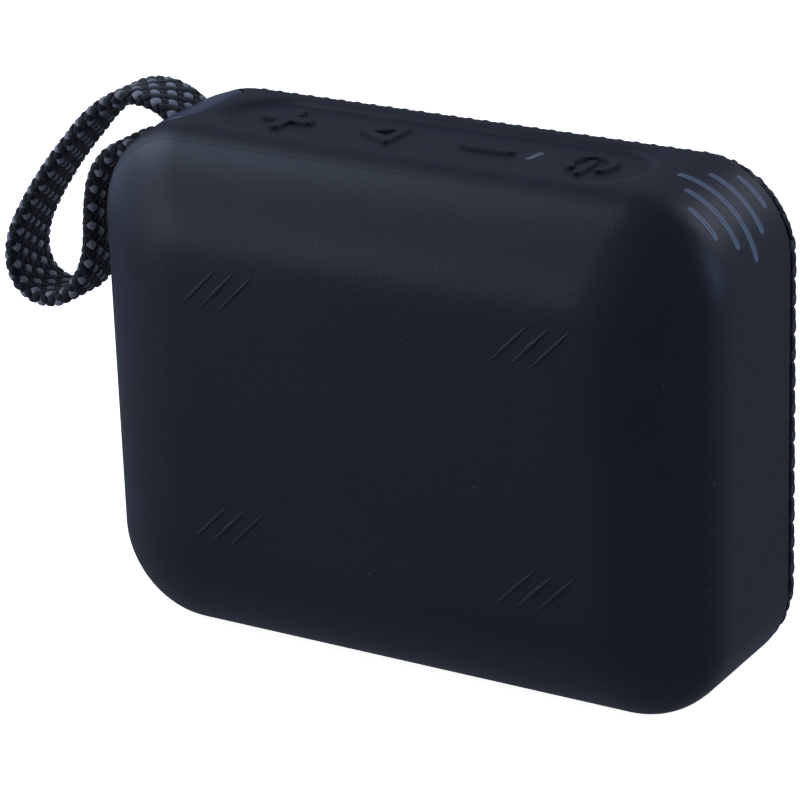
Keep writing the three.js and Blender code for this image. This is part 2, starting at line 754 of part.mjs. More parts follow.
function makeStrap() {
  const extrudePath = new THREE.CatmullRomCurve3(
    strapRoute.map(([x, z]) => new THREE.Vector3(pinX + x, strapY, pinZ + z)),
  );
  const half = strapThickness / 2;
  const edge = strapWidth / 2;
  const bevel = half * 0.6;
  const section = new THREE.Shape([
    [edge - bevel, -half], [edge, bevel - half], [edge, half - bevel], [edge - bevel, half],
    [bevel - edge, half], [-edge, half - bevel], [-edge, bevel - half], [bevel - edge, -half],
  ].map(([across, through]) => new THREE.Vector2(across, through)));
  const made = new THREE.ExtrudeGeometry(section, { extrudePath, steps: 80, bevelEnabled: false });
  piece('strap', solid(made), yarn);
}

// ---------------------------------------------------------------- driver

function makeDriver() {
  const y = (depth) => chassisY + depth;
  const basket = turned([
    [coneRadius + 2.6, y(0)], [driverRadius, y(0)], [driverRadius, y(1.6)], [driverRadius - 1.2, y(1.6)],
    [magnetRadius + 0.6, y(8.9)], [magnetRadius + 0.6, y(10)], [coilRadius + 1.2, y(10)],
    [coilRadius + 1.2, y(9)], [magnetRadius - 0.6, y(9)], [coneRadius + 1.6, y(1.8)], [coneRadius + 2.6, y(1.6)],
  ], driverX, acousticRise);
  const ears = driverEars.map(([x, z]) => rodY(x, z, 2.4, y(0), y(1.6), 12));
  const openRing = rodY(driverX, acousticRise, coneRadius + 2.6, y(-1), y(1.6), 28);
  const earHoles = driverEars.map(([x, z]) => rodY(x, z, smallScrewRadius + slack, y(-1), y(3), 12));
  const windows = [0, 90, 180, 270].map((degrees) => (
    block(coilRadius + 4, driverRadius + 1, y(3), y(7.6), -5, 5)
      .rotate([0, degrees, 0])
      .translate([driverX, 0, acousticRise])
  ));
  piece('driver_basket', cutBy(joined([basket, ...ears]), [openRing, ...earHoles, ...windows]), blackSteel);

  const ring = (inner, outer, near, far) => turned([
    [inner, y(near)], [outer, y(near)], [outer, y(far)], [inner, y(far)],
  ], driverX, acousticRise);
  piece('driver_top_plate', ring(coilRadius + 0.6, magnetRadius - 0.5, 10.3, 12.3), blackSteel);
  piece('driver_magnet', ring(coilRadius + 1.5, magnetRadius, 12.6, 17.6), ferrite);
  const pole = coilRadius - 0.6;
  piece('driver_yoke', turned([
    [0, y(10.6)], [pole, y(10.6)], [pole, y(17.9)], [magnetRadius - 0.5, y(17.9)],
    [magnetRadius - 0.5, y(19.9)], [0, y(19.9)],
  ], driverX, acousticRise), blackSteel);
  piece('voice_coil', ring(coilRadius - 0.25, coilRadius + 0.25, 6.6, 13), copper);
  piece('driver_cone', turned([
    [coilRadius - 0.3, y(5.7)], [coneRadius, y(1.9)], [coneRadius, y(2.5)], [coilRadius - 0.3, y(6.3)],
  ], driverX, acousticRise), paper);
  piece('dust_cap', turned([
    [0, y(2.6)], [3, y(3.1)], [5.2, y(4.3)], [6, y(5.2)], [5.3, y(5.2)], [4.6, y(4.7)], [2.6, y(3.7)], [0, y(3.2)],
  ], driverX, acousticRise, 20), paper);
  piece('driver_surround', turned([
    [coneRadius + bond, y(1.9)], [coneRadius + 0.5, y(0.9)], [coneRadius + 1.2, y(0.5)], [coneRadius + 1.9, y(0.9)],
    [coneRadius + 2.3, y(1.5)], [coneRadius + 1.5, y(1.5)], [coneRadius + 1.2, y(1.1)], [coneRadius + 0.9, y(2)],
    [coneRadius + bond, y(2.3)],
  ], driverX, acousticRise), butyl);
  const spiderProfile = [];
  const spiderFrom = coilRadius + 0.6;
  const spiderTo = magnetRadius - 1.3;
  const waves = 4;
  for (let k = 0; k <= waves; k += 1) {
    spiderProfile.push([spiderFrom + ((spiderTo - spiderFrom) * k) / waves, y(7.9 + (k % 2) * 0.4)]);
  }
  const thick = spiderProfile.map(([radius, depth]) => [radius, depth + 0.35]).reverse();
  piece('driver_spider', turned([...spiderProfile, ...thick], driverX, acousticRise, 18), paper);
}

// ---------------------------------------------------------------- passive radiator

function radiatorRing(draw, radius) {
  return roundedRect(
    radiatorLeft + draw, radiatorRight - draw,
    acousticRise - radiatorHeight / 2 + draw, acousticRise + radiatorHeight / 2 - draw, radius,
  );
}

function makeRadiator() {
  const [front, back] = [chassisY, chassisY + radiatorThickness];
  const outerRadius = 10;
  const rimIn = radiatorRim;
  const rollIn = rimIn + bond + surroundWidth;
  const ring = (outer, inner, y0, y1) => prismY(radiatorRing(outer, outerRadius - outer * 0.7), y0, y1, 5)
    .subtract(prismY(radiatorRing(inner, outerRadius - inner * 0.7), y0 - 1, y1 + 1, 5));
  piece('radiator_frame', ring(0, rimIn, front, back), abs);
  piece('radiator_surround', ring(rimIn + bond, rollIn, front, back - 0.4), butyl);
  const plateDraw = rollIn + bond;
  const plate = prismY(radiatorRing(plateDraw, outerRadius - plateDraw * 0.7), front, back, 5);
  piece('radiator_plate', plate, blackSteel);
  const weightFront = back + bond;
  piece('radiator_weight', rodY(radiatorX, acousticRise, weightRadius, weightFront, weightFront + weightThickness, 20), steel);
}

// ---------------------------------------------------------------- power and electronics

function makeElectronics() {
  const plate = block(boardLeft, boardRight, boardFront, boardBack, boardLow, boardHigh);
  const holes = boardBosses.map(([x, z]) => rodY(x, z, smallScrewRadius + slack, boardFront - 1, boardBack + 1, 12));
  const chips = [
    block(boardLeft + 8, boardLeft + 15, boardBack - 0.1, boardBack + 1.2, boardLow + 5, boardLow + 12),
    block(boardLeft + 18, boardLeft + 23, boardBack - 0.1, boardBack + 1.6, boardLow + 4, boardLow + 9),
    block(boardLeft + 19, boardLeft + 24, boardFront - 1, boardFront + 0.1, boardHigh - 8, boardHigh - 3),
  ];
  piece('main_board', cutBy(joined([plate, ...chips]), holes), fibreglass);

  const batteryBack = roomBack - bond - padThickness - bond;
  const batteryX = batteryLeft + batteryWidth / 2;
  const [left, right] = [batteryLeft, batteryLeft + batteryWidth];
  const [low, high] = [height / 2 - batteryHeight / 2, height / 2 + batteryHeight / 2];
  const cell = roundedRect(left, right, batteryBack - batteryThickness, batteryBack, 1.5);
  piece('battery_cell', prismZ(cell, low, high, 3), foil);
  piece('battery_pad', block(
    left + 2, right - 2, batteryBack + bond, batteryBack + bond + padThickness, low + 3, high - 3,
  ), foam);
  return { batteryX, batteryTop: high, batteryMiddle: batteryBack - batteryThickness / 2 };
}

/** A thin insulated lead through its points. */
function lead(name, points, radius, colour) {
  const extrudePath = new THREE.CatmullRomCurve3(points.map((point) => new THREE.Vector3(...point)));
  const section = new THREE.Shape().absarc(0, 0, radius, 0, 2 * Math.PI);
  const made = new THREE.ExtrudeGeometry(section, { extrudePath, steps: 24, curveSegments: 3, bevelEnabled: false });
  piece(name, solid(made), [colour, 0.6, 0]);
}

function makeLeads({ batteryX, batteryTop, batteryMiddle }) {
  const gap = 0.9;
  lead('battery_lead', [
    [batteryX, batteryMiddle, batteryTop + gap], [batteryX, batteryMiddle, batteryTop + 4],
    [batteryX, boardBack - 1, batteryTop + 5], [batteryX, boardFront - 2.4, batteryTop],
    [boardLeft + 21.5, boardFront - 3.2, boardHigh + 3], [boardLeft + 21.5, boardFront - 2.4, boardHigh - 4],
  ], 0.7, 0x8a1f1f);
  lead('speaker_lead', [
    [driverX + magnetRadius + 3, chassisY + 8, acousticRise - 10],
    [driverX + magnetRadius + 7, chassisY + 9, acousticRise - 16],
    [boardLeft - 3, boardFront, boardLow - 4], [boardLeft + 6, boardFront - 2, boardLow - 3],
    [boardLeft + 9, boardFront - 1.2, boardLow + 3],
  ], 0.7, 0x222222);
}

// ---------------------------------------------------------------- assembly

const hangers = makeControlElectronics();
makeSkin();
makeTub(hangers);
makeFront();
makeKeys();
makeStripes();
makeStrapBlock();
makeStrap();
makePort();
makeDriver();
makeRadiator();
makeLeads(makeElectronics());
makeScrews();

export default group;
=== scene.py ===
"""Looks of a compact shower speaker: rubber skin, moulded controls, woven grille and braided corner strap.

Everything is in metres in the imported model's frame: +Z up, the grille faces -Y, the strap hangs at +X.
"""

import json
import math

import bmesh
import bpy
import numpy as np
from mathutils import Matrix, Vector


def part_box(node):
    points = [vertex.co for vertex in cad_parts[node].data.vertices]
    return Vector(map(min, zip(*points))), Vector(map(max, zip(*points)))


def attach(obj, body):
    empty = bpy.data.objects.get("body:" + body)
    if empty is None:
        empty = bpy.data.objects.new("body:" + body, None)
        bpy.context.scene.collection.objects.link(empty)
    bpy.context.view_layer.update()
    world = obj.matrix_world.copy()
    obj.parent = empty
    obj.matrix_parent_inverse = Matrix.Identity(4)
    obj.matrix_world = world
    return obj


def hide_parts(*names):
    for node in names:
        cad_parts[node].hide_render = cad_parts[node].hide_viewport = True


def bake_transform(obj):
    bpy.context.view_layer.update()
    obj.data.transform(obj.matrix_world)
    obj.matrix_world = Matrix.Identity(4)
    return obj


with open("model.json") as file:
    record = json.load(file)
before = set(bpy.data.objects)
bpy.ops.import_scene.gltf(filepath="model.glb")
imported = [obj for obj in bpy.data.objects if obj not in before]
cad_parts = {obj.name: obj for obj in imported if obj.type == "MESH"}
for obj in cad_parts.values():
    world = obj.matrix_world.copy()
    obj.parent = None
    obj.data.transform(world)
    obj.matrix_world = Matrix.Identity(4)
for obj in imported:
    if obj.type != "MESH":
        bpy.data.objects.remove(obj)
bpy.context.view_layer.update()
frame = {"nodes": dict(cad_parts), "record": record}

MM = 0.001
ROOT = "housing"


def node_box(name):
    """Lowest and highest corner of a CAD node, in millimetres."""
    low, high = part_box(name)
    return np.array(low) / MM, np.array(high) / MM


# Body, in millimetres, from the frame
SKIN_LOW, SKIN_HIGH = node_box("rubber_skin")
RIB_HEIGHT = 0.3
HALF_WIDTH = SKIN_HIGH[0]
HEIGHT = SKIN_HIGH[2]
RIM_Y = SKIN_LOW[1]
BACK_Y = SKIN_HIGH[1] - RIB_HEIGHT
FRONT_Y = node_box("grille_fabric")[0][1]

# Body shape, as the design has it
CORNER_RADIUS = 15.0
BACK_CORNER_RADIUS = 5.0
SHOULDER_INSET = 16.2
SHOULDER_DEPTH = 10.1
SHOULDER_POWER = 2 / 1.5
SKIN_THICKNESS = 1.7
SHOULDER_Y = BACK_Y - SHOULDER_DEPTH
RIM_ROUND = 0.45
MOULD_LINE_DEPTH = 2.3  # behind the shoulder's start
MOULD_LINE_HALF = 0.10
MOULD_LINE_PROUD = 0.035
CORNER_X = HALF_WIDTH - CORNER_RADIUS
CORNER_Z = HEIGHT - CORNER_RADIUS

# Control strip
RECESS_DEPTH = 0.9
RECESS_SLOPE = 2.0
RECESS_X = (-37.0, 38.5)
RECESS_Y = (RIM_Y + 2.0, RIM_Y + 20.0)
FLOOR_Z = HEIGHT - RECESS_DEPTH


# ---------------------------------------------------------------- small helpers


def linked(name, data):
    """An object for a mesh, lamp or camera, in the scene."""
    made = bpy.data.objects.new(name, data)
    bpy.context.collection.objects.link(made)
    return made


def add_object(name, verts_mm, faces):
    """A smooth-shaded mesh object from vertices in millimetres."""
    mesh = bpy.data.meshes.new(name)
    mesh.from_pydata((np.asarray(verts_mm, float) * MM).tolist(), [], faces)
    mesh.validate()
    mesh.update()
    for polygon in mesh.polygons:
        polygon.use_smooth = True
    return linked(name, mesh)


def row_faces(rows, columns):
    """Quads between rows of points, each row closed on itself."""
    faces = []
    for row in range(rows - 1):
        near, far = row * columns, (row + 1) * columns
        for k in range(columns):
            after = (k + 1) % columns
            faces.append((near + k, near + after, far + after, far + k))
    return faces


def outward(made):
    """Turns a closed mesh's faces outwards."""
    work = bmesh.new()
    work.from_mesh(made.data)
    bmesh.ops.remove_doubles(work, verts=work.verts, dist=1e-7)
    bmesh.ops.recalc_face_normals(work, faces=work.faces)
    work.to_mesh(made.data)
    work.free()
    return made


def skinned(name, rows):
    """A closed body through rows of equally many points, each end closed by a point at its middle."""
    rows = [np.asarray(row, float) for row in rows]
    columns = len(rows[0])
    verts = np.vstack(rows + [rows[0].mean(0, keepdims=True), rows[-1].mean(0, keepdims=True)])
    faces = row_faces(len(rows), columns)
    first, last = len(verts) - 2, len(verts) - 1
    end = (len(rows) - 1) * columns
    for k in range(columns):
        after = (k + 1) % columns
        faces.append((after, k, first))
        faces.append((end + k, end + after, last))
    return outward(add_object(name, verts, faces))


def baked(made):
    """Turns an object and its modifiers into a plain mesh object of the same name."""
    graph = bpy.context.evaluated_depsgraph_get()
    mesh = bpy.data.meshes.new_from_object(made.evaluated_get(graph), depsgraph=graph)
    name = made.name
    bpy.data.objects.remove(made)
    mesh.name = name
    return linked(name, mesh)


def cut(made, *cutters):
    """Cuts closed objects out of one, and removes them."""
    for cutter in cutters:
        tool = made.modifiers.new("cut", "BOOLEAN")
        tool.operation = "DIFFERENCE"
        tool.solver = "EXACT"
        tool.object = cutter
    result = baked(made)
    for cutter in cutters:
        bpy.data.objects.remove(cutter)
    return result


def smooth_by_angle(made, degrees):
    """Smooth faces, with edges sharper than an angle kept crisp."""
    limit = math.radians(degrees)
    work = bmesh.new()
    work.from_mesh(made.data)
    for face in work.faces:
        face.smooth = True
    for edge in work.edges:
        if len(edge.link_faces) == 2:
            edge.smooth = edge.calc_face_angle(0) < limit
    work.to_mesh(made.data)
    work.free()


def finish_piece(made, body, slot, material, *replaced):
    """Gives a piece its material and its body, if it has one, and hides the CAD nodes it stands for; `slot`
    is not used.
    """
    made.data.materials.clear()
    made.data.materials.append(material)
    if body is not None:
        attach(made, body)
    if replaced:
        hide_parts(*replaced)


def smoothstep(x):
    """A soft step from 0 to 1."""
    x = np.clip(x, 0, 1)
    return x * x * (3 - 2 * x)


def rounded_rect(half_a, half_b, radius, per_corner):
    """Points round a rounded rectangle, counter-clockwise from its right side."""
    points = []
    for quarter, (right, up) in enumerate([(1, 1), (-1, 1), (-1, -1), (1, -1)]):
        for k in range(per_corner + 1):
            angle = (quarter + k / per_corner) * math.pi / 2
            points.append((
                right * (half_a - radius) + radius * math.cos(angle),
                up * (half_b - radius) + radius * math.sin(angle),
            ))
    return np.array(points)


def denser(ring, step=0.5):
    """A closed ring of points with more set between them, about `step` apart."""
    points = []
    for near, far in zip(ring, np.roll(ring, -1, axis=0)):
        count = max(1, int(round(np.linalg.norm(far - near) / step)))
        points += [near + (far - near) * k / count for k in range(count)]
    return np.array(points)


def rounded_distance(x, z, half_a, half_b, radius):
    """Signed distance outside a rounded rectangle about the origin."""
    dx = np.abs(x) - (half_a - radius)
    dz = np.abs(z) - (half_b - radius)
    outside = np.hypot(np.maximum(dx, 0), np.maximum(dz, 0))
    return outside + np.minimum(np.maximum(dx, dz), 0) - radius


# ---------------------------------------------------------------- materials


def linear(hex_colour):
    """An sRGB hex colour as a linear colour with alpha."""
    channels = [int(hex_colour[i:i + 2], 16) / 255 for i in (0, 2, 4)]
    return [c / 12.92 if c <= 0.04045 else ((c + 0.055) / 1.055) ** 2.4 for c in channels] + [1.0]


def add_node(tree, kind, settings=None, **inputs):
    """Adds a node: `settings` are its properties, `inputs` its sockets' values or links, by name or as i0."""
    made = tree.nodes.new(kind)
    for key, value in (settings or {}).items():
        setattr(made, key, value)
    for key, value in inputs.items():
        numbered = key[0] == "i" and key[1:].isdigit()
        socket = made.inputs[int(key[1:]) if numbered else key.replace("_", " ")]
        if isinstance(value, bpy.types.NodeSocket):
            tree.links.new(value, socket)
        else:
            socket.default_value = value
    return made


def new_material(name):
    """A material with a Principled shader; returns it, its tree and the shader."""
    material = bpy.data.materials.new(name)
    material.use_nodes = True
    tree = material.node_tree
    return material, tree, tree.nodes["Principled BSDF"]


def colour_by(tree, shader, pattern, reach, dark, light):
    """Turns the base colour from dark to light as a pattern rises through its middle."""
    low, high = reach
    share = add_node(tree, "ShaderNodeMapRange", i0=pattern, i1=low, i2=high)
    colour = add_node(
        tree, "ShaderNodeMix", {"data_type": "RGBA"},
        Factor=share.outputs[0], i6=linear(dark), i7=linear(light),
    )
    tree.links.new(colour.outputs[2], shader.inputs["Base Color"])


def grained(name, dark, light, roughness, grain_mm, depth_mm, specular=0.5, **settings):
    """A moulded surface with a fine grain in its relief, and wider clouds in its colour and gloss.

    A real tool grain is a few hundredths of a millimetre. It is drawn several times coarser, to show.
    """
    material, tree, shader = new_material(name)
    place = add_node(tree, "ShaderNodeTexCoord").outputs["Object"]
    grain = add_node(
        tree, "ShaderNodeTexNoise", Vector=place, Scale=1 / (grain_mm * MM), Detail=3.0, Roughness=0.6,
    ).outputs[0]
    cloud = add_node(
        tree, "ShaderNodeTexNoise", Vector=place, Scale=1 / (25 * MM), Detail=4.0, Roughness=0.55,
    ).outputs[0]
    mixed = add_node(tree, "ShaderNodeMix", {"data_type": "FLOAT"}, Factor=0.35, i2=cloud, i3=grain)
    colour_by(tree, shader, mixed.outputs[0], (0.3, 0.7), dark, light)
    low, high = roughness
    gloss = add_node(tree, "ShaderNodeMapRange", i0=cloud, i1=0.3, i2=0.7, i3=low, i4=high)
    tree.links.new(gloss.outputs[0], shader.inputs["Roughness"])
    bump = add_node(tree, "ShaderNodeBump", Strength=1.0, Distance=depth_mm * MM, Height=grain)
    tree.links.new(bump.outputs[0], shader.inputs["Normal"])
    shader.inputs["Specular IOR Level"].default_value = specular
    for key, value in settings.items():
        shader.inputs[key.replace("_", " ")].default_value = value
    return material


def silicone_skin():
    """Silicone rubber, moulded in a blasted tool: a soft dark navy with a very fine matte grain and lint."""
    material = grained(
        "silicone_rubber_moulded_navy", "181C29", "1D2231", (0.42, 0.48), 0.40, 0.060, specular=0.4,
    )
    tree = material.node_tree
    base = tree.nodes["Principled BSDF"].inputs["Base Color"]
    place = add_node(tree, "ShaderNodeTexCoord").outputs["Object"]
    # Lint that clings to silicone: specks about 0.19 mm across, one to every two square centimetres or so.
    cells = add_node(tree, "ShaderNodeTexVoronoi", {"feature": "F1"}, Vector=place, Scale=1 / (3.4 * MM))
    near = add_node(
        tree, "ShaderNodeMath", {"operation": "LESS_THAN"}, i0=cells.outputs["Distance"], i1=0.028,
    )
    speck = add_node(
        tree, "ShaderNodeMix", {"data_type": "RGBA"},
        Factor=near.outputs[0], i6=base.links[0].from_socket, i7=linear("7C8290"),
    )
    tree.links.new(speck.outputs[2], base)
    return material


def yarn_material(name, dark, light, roughness=0.78):
    """Polyester yarn: fine filaments show as short streaks, with a soft sheen at grazing angles.

    A real filament is about 0.02 mm. The streaks are drawn some ten times coarser, so that they show.
    """
    material, tree, shader = new_material(name)
    place = add_node(tree, "ShaderNodeTexCoord").outputs["Object"]
    streaks = add_node(
        tree, "ShaderNodeTexNoise", Vector=place, Scale=1 / (0.22 * MM), Detail=4.0, Roughness=0.7,
    ).outputs[0]
    cloud = add_node(tree, "ShaderNodeTexNoise", Vector=place, Scale=1 / (3.0 * MM), Detail=2.0).outputs[0]
    mixed = add_node(tree, "ShaderNodeMix", {"data_type": "FLOAT"}, Factor=0.5, i2=streaks, i3=cloud)
    colour_by(tree, shader, mixed.outputs[0], (0.35, 0.65), dark, light)
    bump = add_node(tree, "ShaderNodeBump", Strength=1.0, Distance=0.05 * MM, Height=streaks)
    tree.links.new(bump.outputs[0], shader.inputs["Normal"])
    shader.inputs["Roughness"].default_value = roughness
    shader.inputs["Sheen Weight"].default_value = 0.15
    shader.inputs["Sheen Roughness"].default_value = 0.5
    return material


def drawn_metal(name, dark, light, roughness, streak_mm):
    """Metal whose gloss fine streaks break up, drawn several times coarser than real ones, to show."""
    material, tree, shader = new_material(name)
    place = add_node(tree, "ShaderNodeTexCoord").outputs["Object"]
    stretched = add_node(tree, "ShaderNodeMapping", Vector=place, Scale=(1.0, 1.0, 8.0)).outputs[0]
    streaks = add_node(
        tree, "ShaderNodeTexNoise", Vector=stretched, Scale=1 / (streak_mm * MM), Detail=3.0,
    ).outputs[0]
    colour_by(tree, shader, streaks, (0.3, 0.7), dark, light)
    low, high = roughness
    gloss = add_node(tree, "ShaderNodeMapRange", i0=streaks, i1=0.3, i2=0.7, i3=low, i4=high)
    tree.links.new(gloss.outputs[0], shader.inputs["Roughness"])
    shader.inputs["Metallic"].default_value = 1.0
    return material


def outer_materials():
    """Finishes of the pieces that show."""
    return {
        "skin": silicone_skin(),
        # The same silicone on the raised symbols: a shallower grain from the tool's pockets.
        "keys": grained(
            "silicone_rubber_moulded_symbols", "181C29", "1C2130", (0.44, 0.50), 0.34, 0.010, specular=0.4,
        ),
        # Silicone print on the corner: grey-blue and satin, with slightly uneven ink.
        "stripes": grained("silicone_ink_grey_blue", "5F6C7F", "6B798D", (0.42, 0.5), 0.35, 0.005),
        # Polycarbonate, injection moulded and satin polished: clearer highlights than the rubber round it.
        "block": grained("polycarbonate_satin_slate", "363F56", "3B455D", (0.30, 0.36), 0.5, 0.003),
        # Frosted acrylic over the status light: pale and milky, with light let a millimetre in.
        "diffuser": grained(
            "acrylic_frosted_diffuser", "626D79", "6E7A87", (0.4, 0.5), 0.3, 0.003,
            Subsurface_Weight=0.15, Subsurface_Radius=(MM, MM, MM),
        ),
        # Braiding yarn: near black and dull, with a lighter grey one for the flecks.
        "yarn_dark": yarn_material("polyester_yarn_braided_navy", "080A12", "121522"),
        "yarn_light": yarn_material("polyester_yarn_braided_grey", "7A7D89", "A6A9B3"),
        # Weaving yarn of the cover: as dark, and a little glossier.
        "grille_yarn": yarn_material("polyester_yarn_woven_navy", "080B13", "121724", 0.55),
    }


def slot_materials():
    """Every CAD node's finish, by the record's slots."""
    return {
        # ABS from a spark-eroded tool: black, an even and slightly coarse matte.
        "housing_abs": grained("abs_spark_textured_black", "17181B", "1E1F23", (0.5, 0.62), 0.4, 0.012),
        # Zinc-plated steel: bright grey, its gloss broken by drawn streaks.
        "steel": drawn_metal("steel_zinc_plated", "A9ADB2", "C6CACF", (0.25, 0.4), 0.3),
        # Electrocoated steel: charcoal paint over metal, half matte.
        "black_steel": grained(
            "steel_black_electrocoat", "222327", "2E2F34", (0.4, 0.5), 0.5, 0.006, Metallic=0.4,
        ),
        # Closed-cell foam: black, dull and visibly cellular.
        "foam": grained("foam_closed_cell_black", "151515", "242424", (0.85, 0.95), 0.6, 0.08),
        # Fibreglass board under solder mask: glossy green.
        "fibreglass": grained("fibreglass_solder_mask_green", "10402A", "185236", (0.3, 0.4), 0.9, 0.01),
        # Pressed paper pulp: black, fibrous and quite dull.
        "paper": grained("paper_pulp_pressed_black", "161617", "252527", (0.8, 0.9), 0.5, 0.05),
        # Enamelled copper wire: orange-brown with a bright gloss along its turns.
        "copper": drawn_metal("copper_wire_enamelled", "9A5527", "C07A42", (0.25, 0.4), 0.15),
        # Sintered ferrite: dark grey ceramic with a powdery grain.
        "ferrite": grained("ferrite_sintered", "2C2D31", "3C3D43", (0.5, 0.65), 0.4, 0.02),
        # Laminated foil pouch: pale grey metal, softly wrinkled.
        "foil": grained("foil_laminate_pouch", "868C93", "A0A6AD", (0.3, 0.45), 2.0, 0.06, Metallic=0.6),
        # Moulded butyl rubber: black with a low even gloss.
        "butyl": grained("butyl_rubber_moulded", "121214", "1B1B1E", (0.55, 0.7), 0.5, 0.01),
        # PVC insulation, extruded: dark red and fairly glossy.
        "wire": grained("pvc_insulation_red", "5E1717", "7C2222", (0.35, 0.45), 0.5, 0.005),
        "diffuser": MATERIALS["diffuser"],
        "silicone_skin": MATERIALS["skin"],
        "button_rubber": MATERIALS["keys"],
        "stripe_ink": MATERIALS["stripes"],
        "strap_block_pc": MATERIALS["block"],
        "yarn": MATERIALS["yarn_dark"],
        "grille_fabric": MATERIALS["grille_yarn"],
    }


# ---------------------------------------------------------------- camera, floor and light


CAMERA_AZIMUTH = math.radians(211.485)
CAMERA_ELEVATION = math.radians(21.355)
CAMERA_ROLL = math.radians(-1.967)
CAMERA_TARGET = Vector((6.13, 0.0, 40.79)) * MM
CAMERA_DISTANCE = 580.7 * MM
LIGHT_AIM = Vector((0.0, 0.0, 0.05))
BACKDROP_RADIUS = 5000  # millimetres
BACKDROP_GLOW = 0.93  # lets the paper read as white whatever the lights leave on it


def make_camera():
    """The product view from behind and above, through a long lens."""
    back = Vector((
        math.sin(CAMERA_AZIMUTH) * math.cos(CAMERA_ELEVATION),
        -math.cos(CAMERA_AZIMUTH) * math.cos(CAMERA_ELEVATION),
        math.sin(CAMERA_ELEVATION),
    ))
    right = Vector((math.cos(CAMERA_AZIMUTH), math.sin(CAMERA_AZIMUTH), 0.0))
    up = back.cross(right)
    turn = Matrix.Rotation(CAMERA_ROLL, 3, back)
    axes = Matrix((turn @ right, turn @ up, back)).transposed().to_4x4()
    camera = linked("camera", bpy.data.cameras.new("camera"))
    camera.data.sensor_width = 36.0
    camera.data.lens = 167.6
    camera.data.clip_start, camera.data.clip_end = 0.01, 20.0
    camera.matrix_world = Matrix.Translation(CAMERA_TARGET + back * CAMERA_DISTANCE) @ axes
    bpy.context.scene.camera = camera


def add_area(name, place, size, energy, colour):
    """A soft box aimed at the speaker's middle."""
    light = bpy.data.lights.new(name, "AREA")
    light.shape = "RECTANGLE"
    light.size, light.size_y = size
    light.energy = energy
    light.color = linear(colour)[:3]
    made = linked(name, light)
    made.location = place
    made.rotation_euler = (LIGHT_AIM - Vector(place)).to_track_quat("-Z", "Y").to_euler()
    made.visible_camera = False


def make_stage():
    """A plain pale floor and backdrop that light themselves, and soft studio light.

    Neither shows in the speaker's reflections nor lights it, so its colours come from the lights alone.
    """
    paper, _, shader = new_material("backdrop_paper_white")
    shader.inputs["Base Color"].default_value = linear("F4F4F4")
    shader.inputs["Roughness"].default_value = 0.9
    shader.inputs["Specular IOR Level"].default_value = 0.1
    shader.inputs["Emission Color"].default_value = linear("FFFFFF")
    shader.inputs["Emission Strength"].default_value = BACKDROP_GLOW

    reach = 6.0
    mesh = bpy.data.meshes.new("floor")
    mesh.from_pydata(
        [(-reach, -reach, 0), (reach, -reach, 0), (reach, reach, 0), (-reach, reach, 0)], [], [(0, 1, 2, 3)],
    )
    mesh.materials.append(paper)
    floor = linked("floor", mesh)
    floor.location.z = SKIN_LOW[2] * MM
    floor.visible_glossy = False
    floor.visible_diffuse = False

    circle = np.array([(math.cos(k * math.pi / 24), math.sin(k * math.pi / 24), 0.0) for k in range(48)])
    backdrop = skinned("backdrop", [
        circle * BACKDROP_RADIUS * math.cos(rise) + [0, 0, BACKDROP_RADIUS * math.sin(rise) - 200]
        for rise in np.linspace(-0.03, 1.5, 10)
    ])
    backdrop.data.materials.append(paper)
    backdrop.visible_glossy = False
    backdrop.visible_diffuse = False
    backdrop.visible_shadow = False

    world = bpy.data.worlds.new("studio")
    world.use_nodes = True
    world.node_tree.nodes["Background"].inputs[0].default_value = linear("DCE6FF")
    world.node_tree.nodes["Background"].inputs[1].default_value = 0.24
    bpy.context.scene.world = world
    bpy.context.scene.view_settings.view_transform = "Standard"

    add_area("key", (0.55, 0.10, 0.50), (0.4, 0.4), 2.1, "D8ECFF")
    add_area("fill", (0.9, 1.0, 0.2), (0.6, 0.6), 3.1, "E9EDFF")
    add_area("side", (-1.2, -0.35, 0.35), (0.8, 0.9), 3.8, "BDDDFF")
    add_area("left", (1.1, -0.1, 0.15), (0.8, 0.5), 1.1, "B6DBFF")
    add_area("front", (-0.5, -1.1, 0.75), (0.6, 0.6), 2.5, "E9EFFF")


# ---------------------------------------------------------------- rubber skin


def outline_columns():
    """Columns round the body: for each, its side or corner and its place along it."""
    per_corner, along_top, along_side = 26, 130, 44
    columns = []
    for quarter in range(4):
        for k in range(per_corner):
            columns.append(("corner", quarter, k / per_corner))
        count = along_top if quarter in (0, 2) else along_side
        for k in range(count):
            columns.append(("side", quarter, k / count))
    return columns


COLUMNS = outline_columns()
CORNER_SIGNS = [(1, 1), (-1, 1), (-1, -1), (1, -1)]


def body_ring(y, inset, offset=0.0):
    """The body's outline at one depth: drawn in by `inset` on the shoulder and `offset` through its walls."""
    share = inset / SHOULDER_INSET
    radius = max(CORNER_RADIUS + (BACK_CORNER_RADIUS - CORNER_RADIUS) * share - offset, 0.8)
    half_x = HALF_WIDTH - inset - offset
    half_z = HEIGHT / 2 - inset - offset
    points = []
    for kind, quarter, along in COLUMNS:
        right, up = CORNER_SIGNS[quarter]
        centre = np.array([right * (half_x - radius), up * (half_z - radius)])
        if kind == "corner":
            angle = (quarter + along) * math.pi / 2
            point = centre + radius * np.array([math.cos(angle), math.sin(angle)])
        else:
            angle = (quarter + 1) * math.pi / 2
            step = radius * np.array([math.cos(angle), math.sin(angle)])
            right, up = CORNER_SIGNS[(quarter + 1) % 4]
            other = np.array([right * (half_x - radius), up * (half_z - radius)])
            point = centre + (other - centre) * along + step
        points.append((point[0], y, HEIGHT / 2 + point[1]))
    return np.array(points)


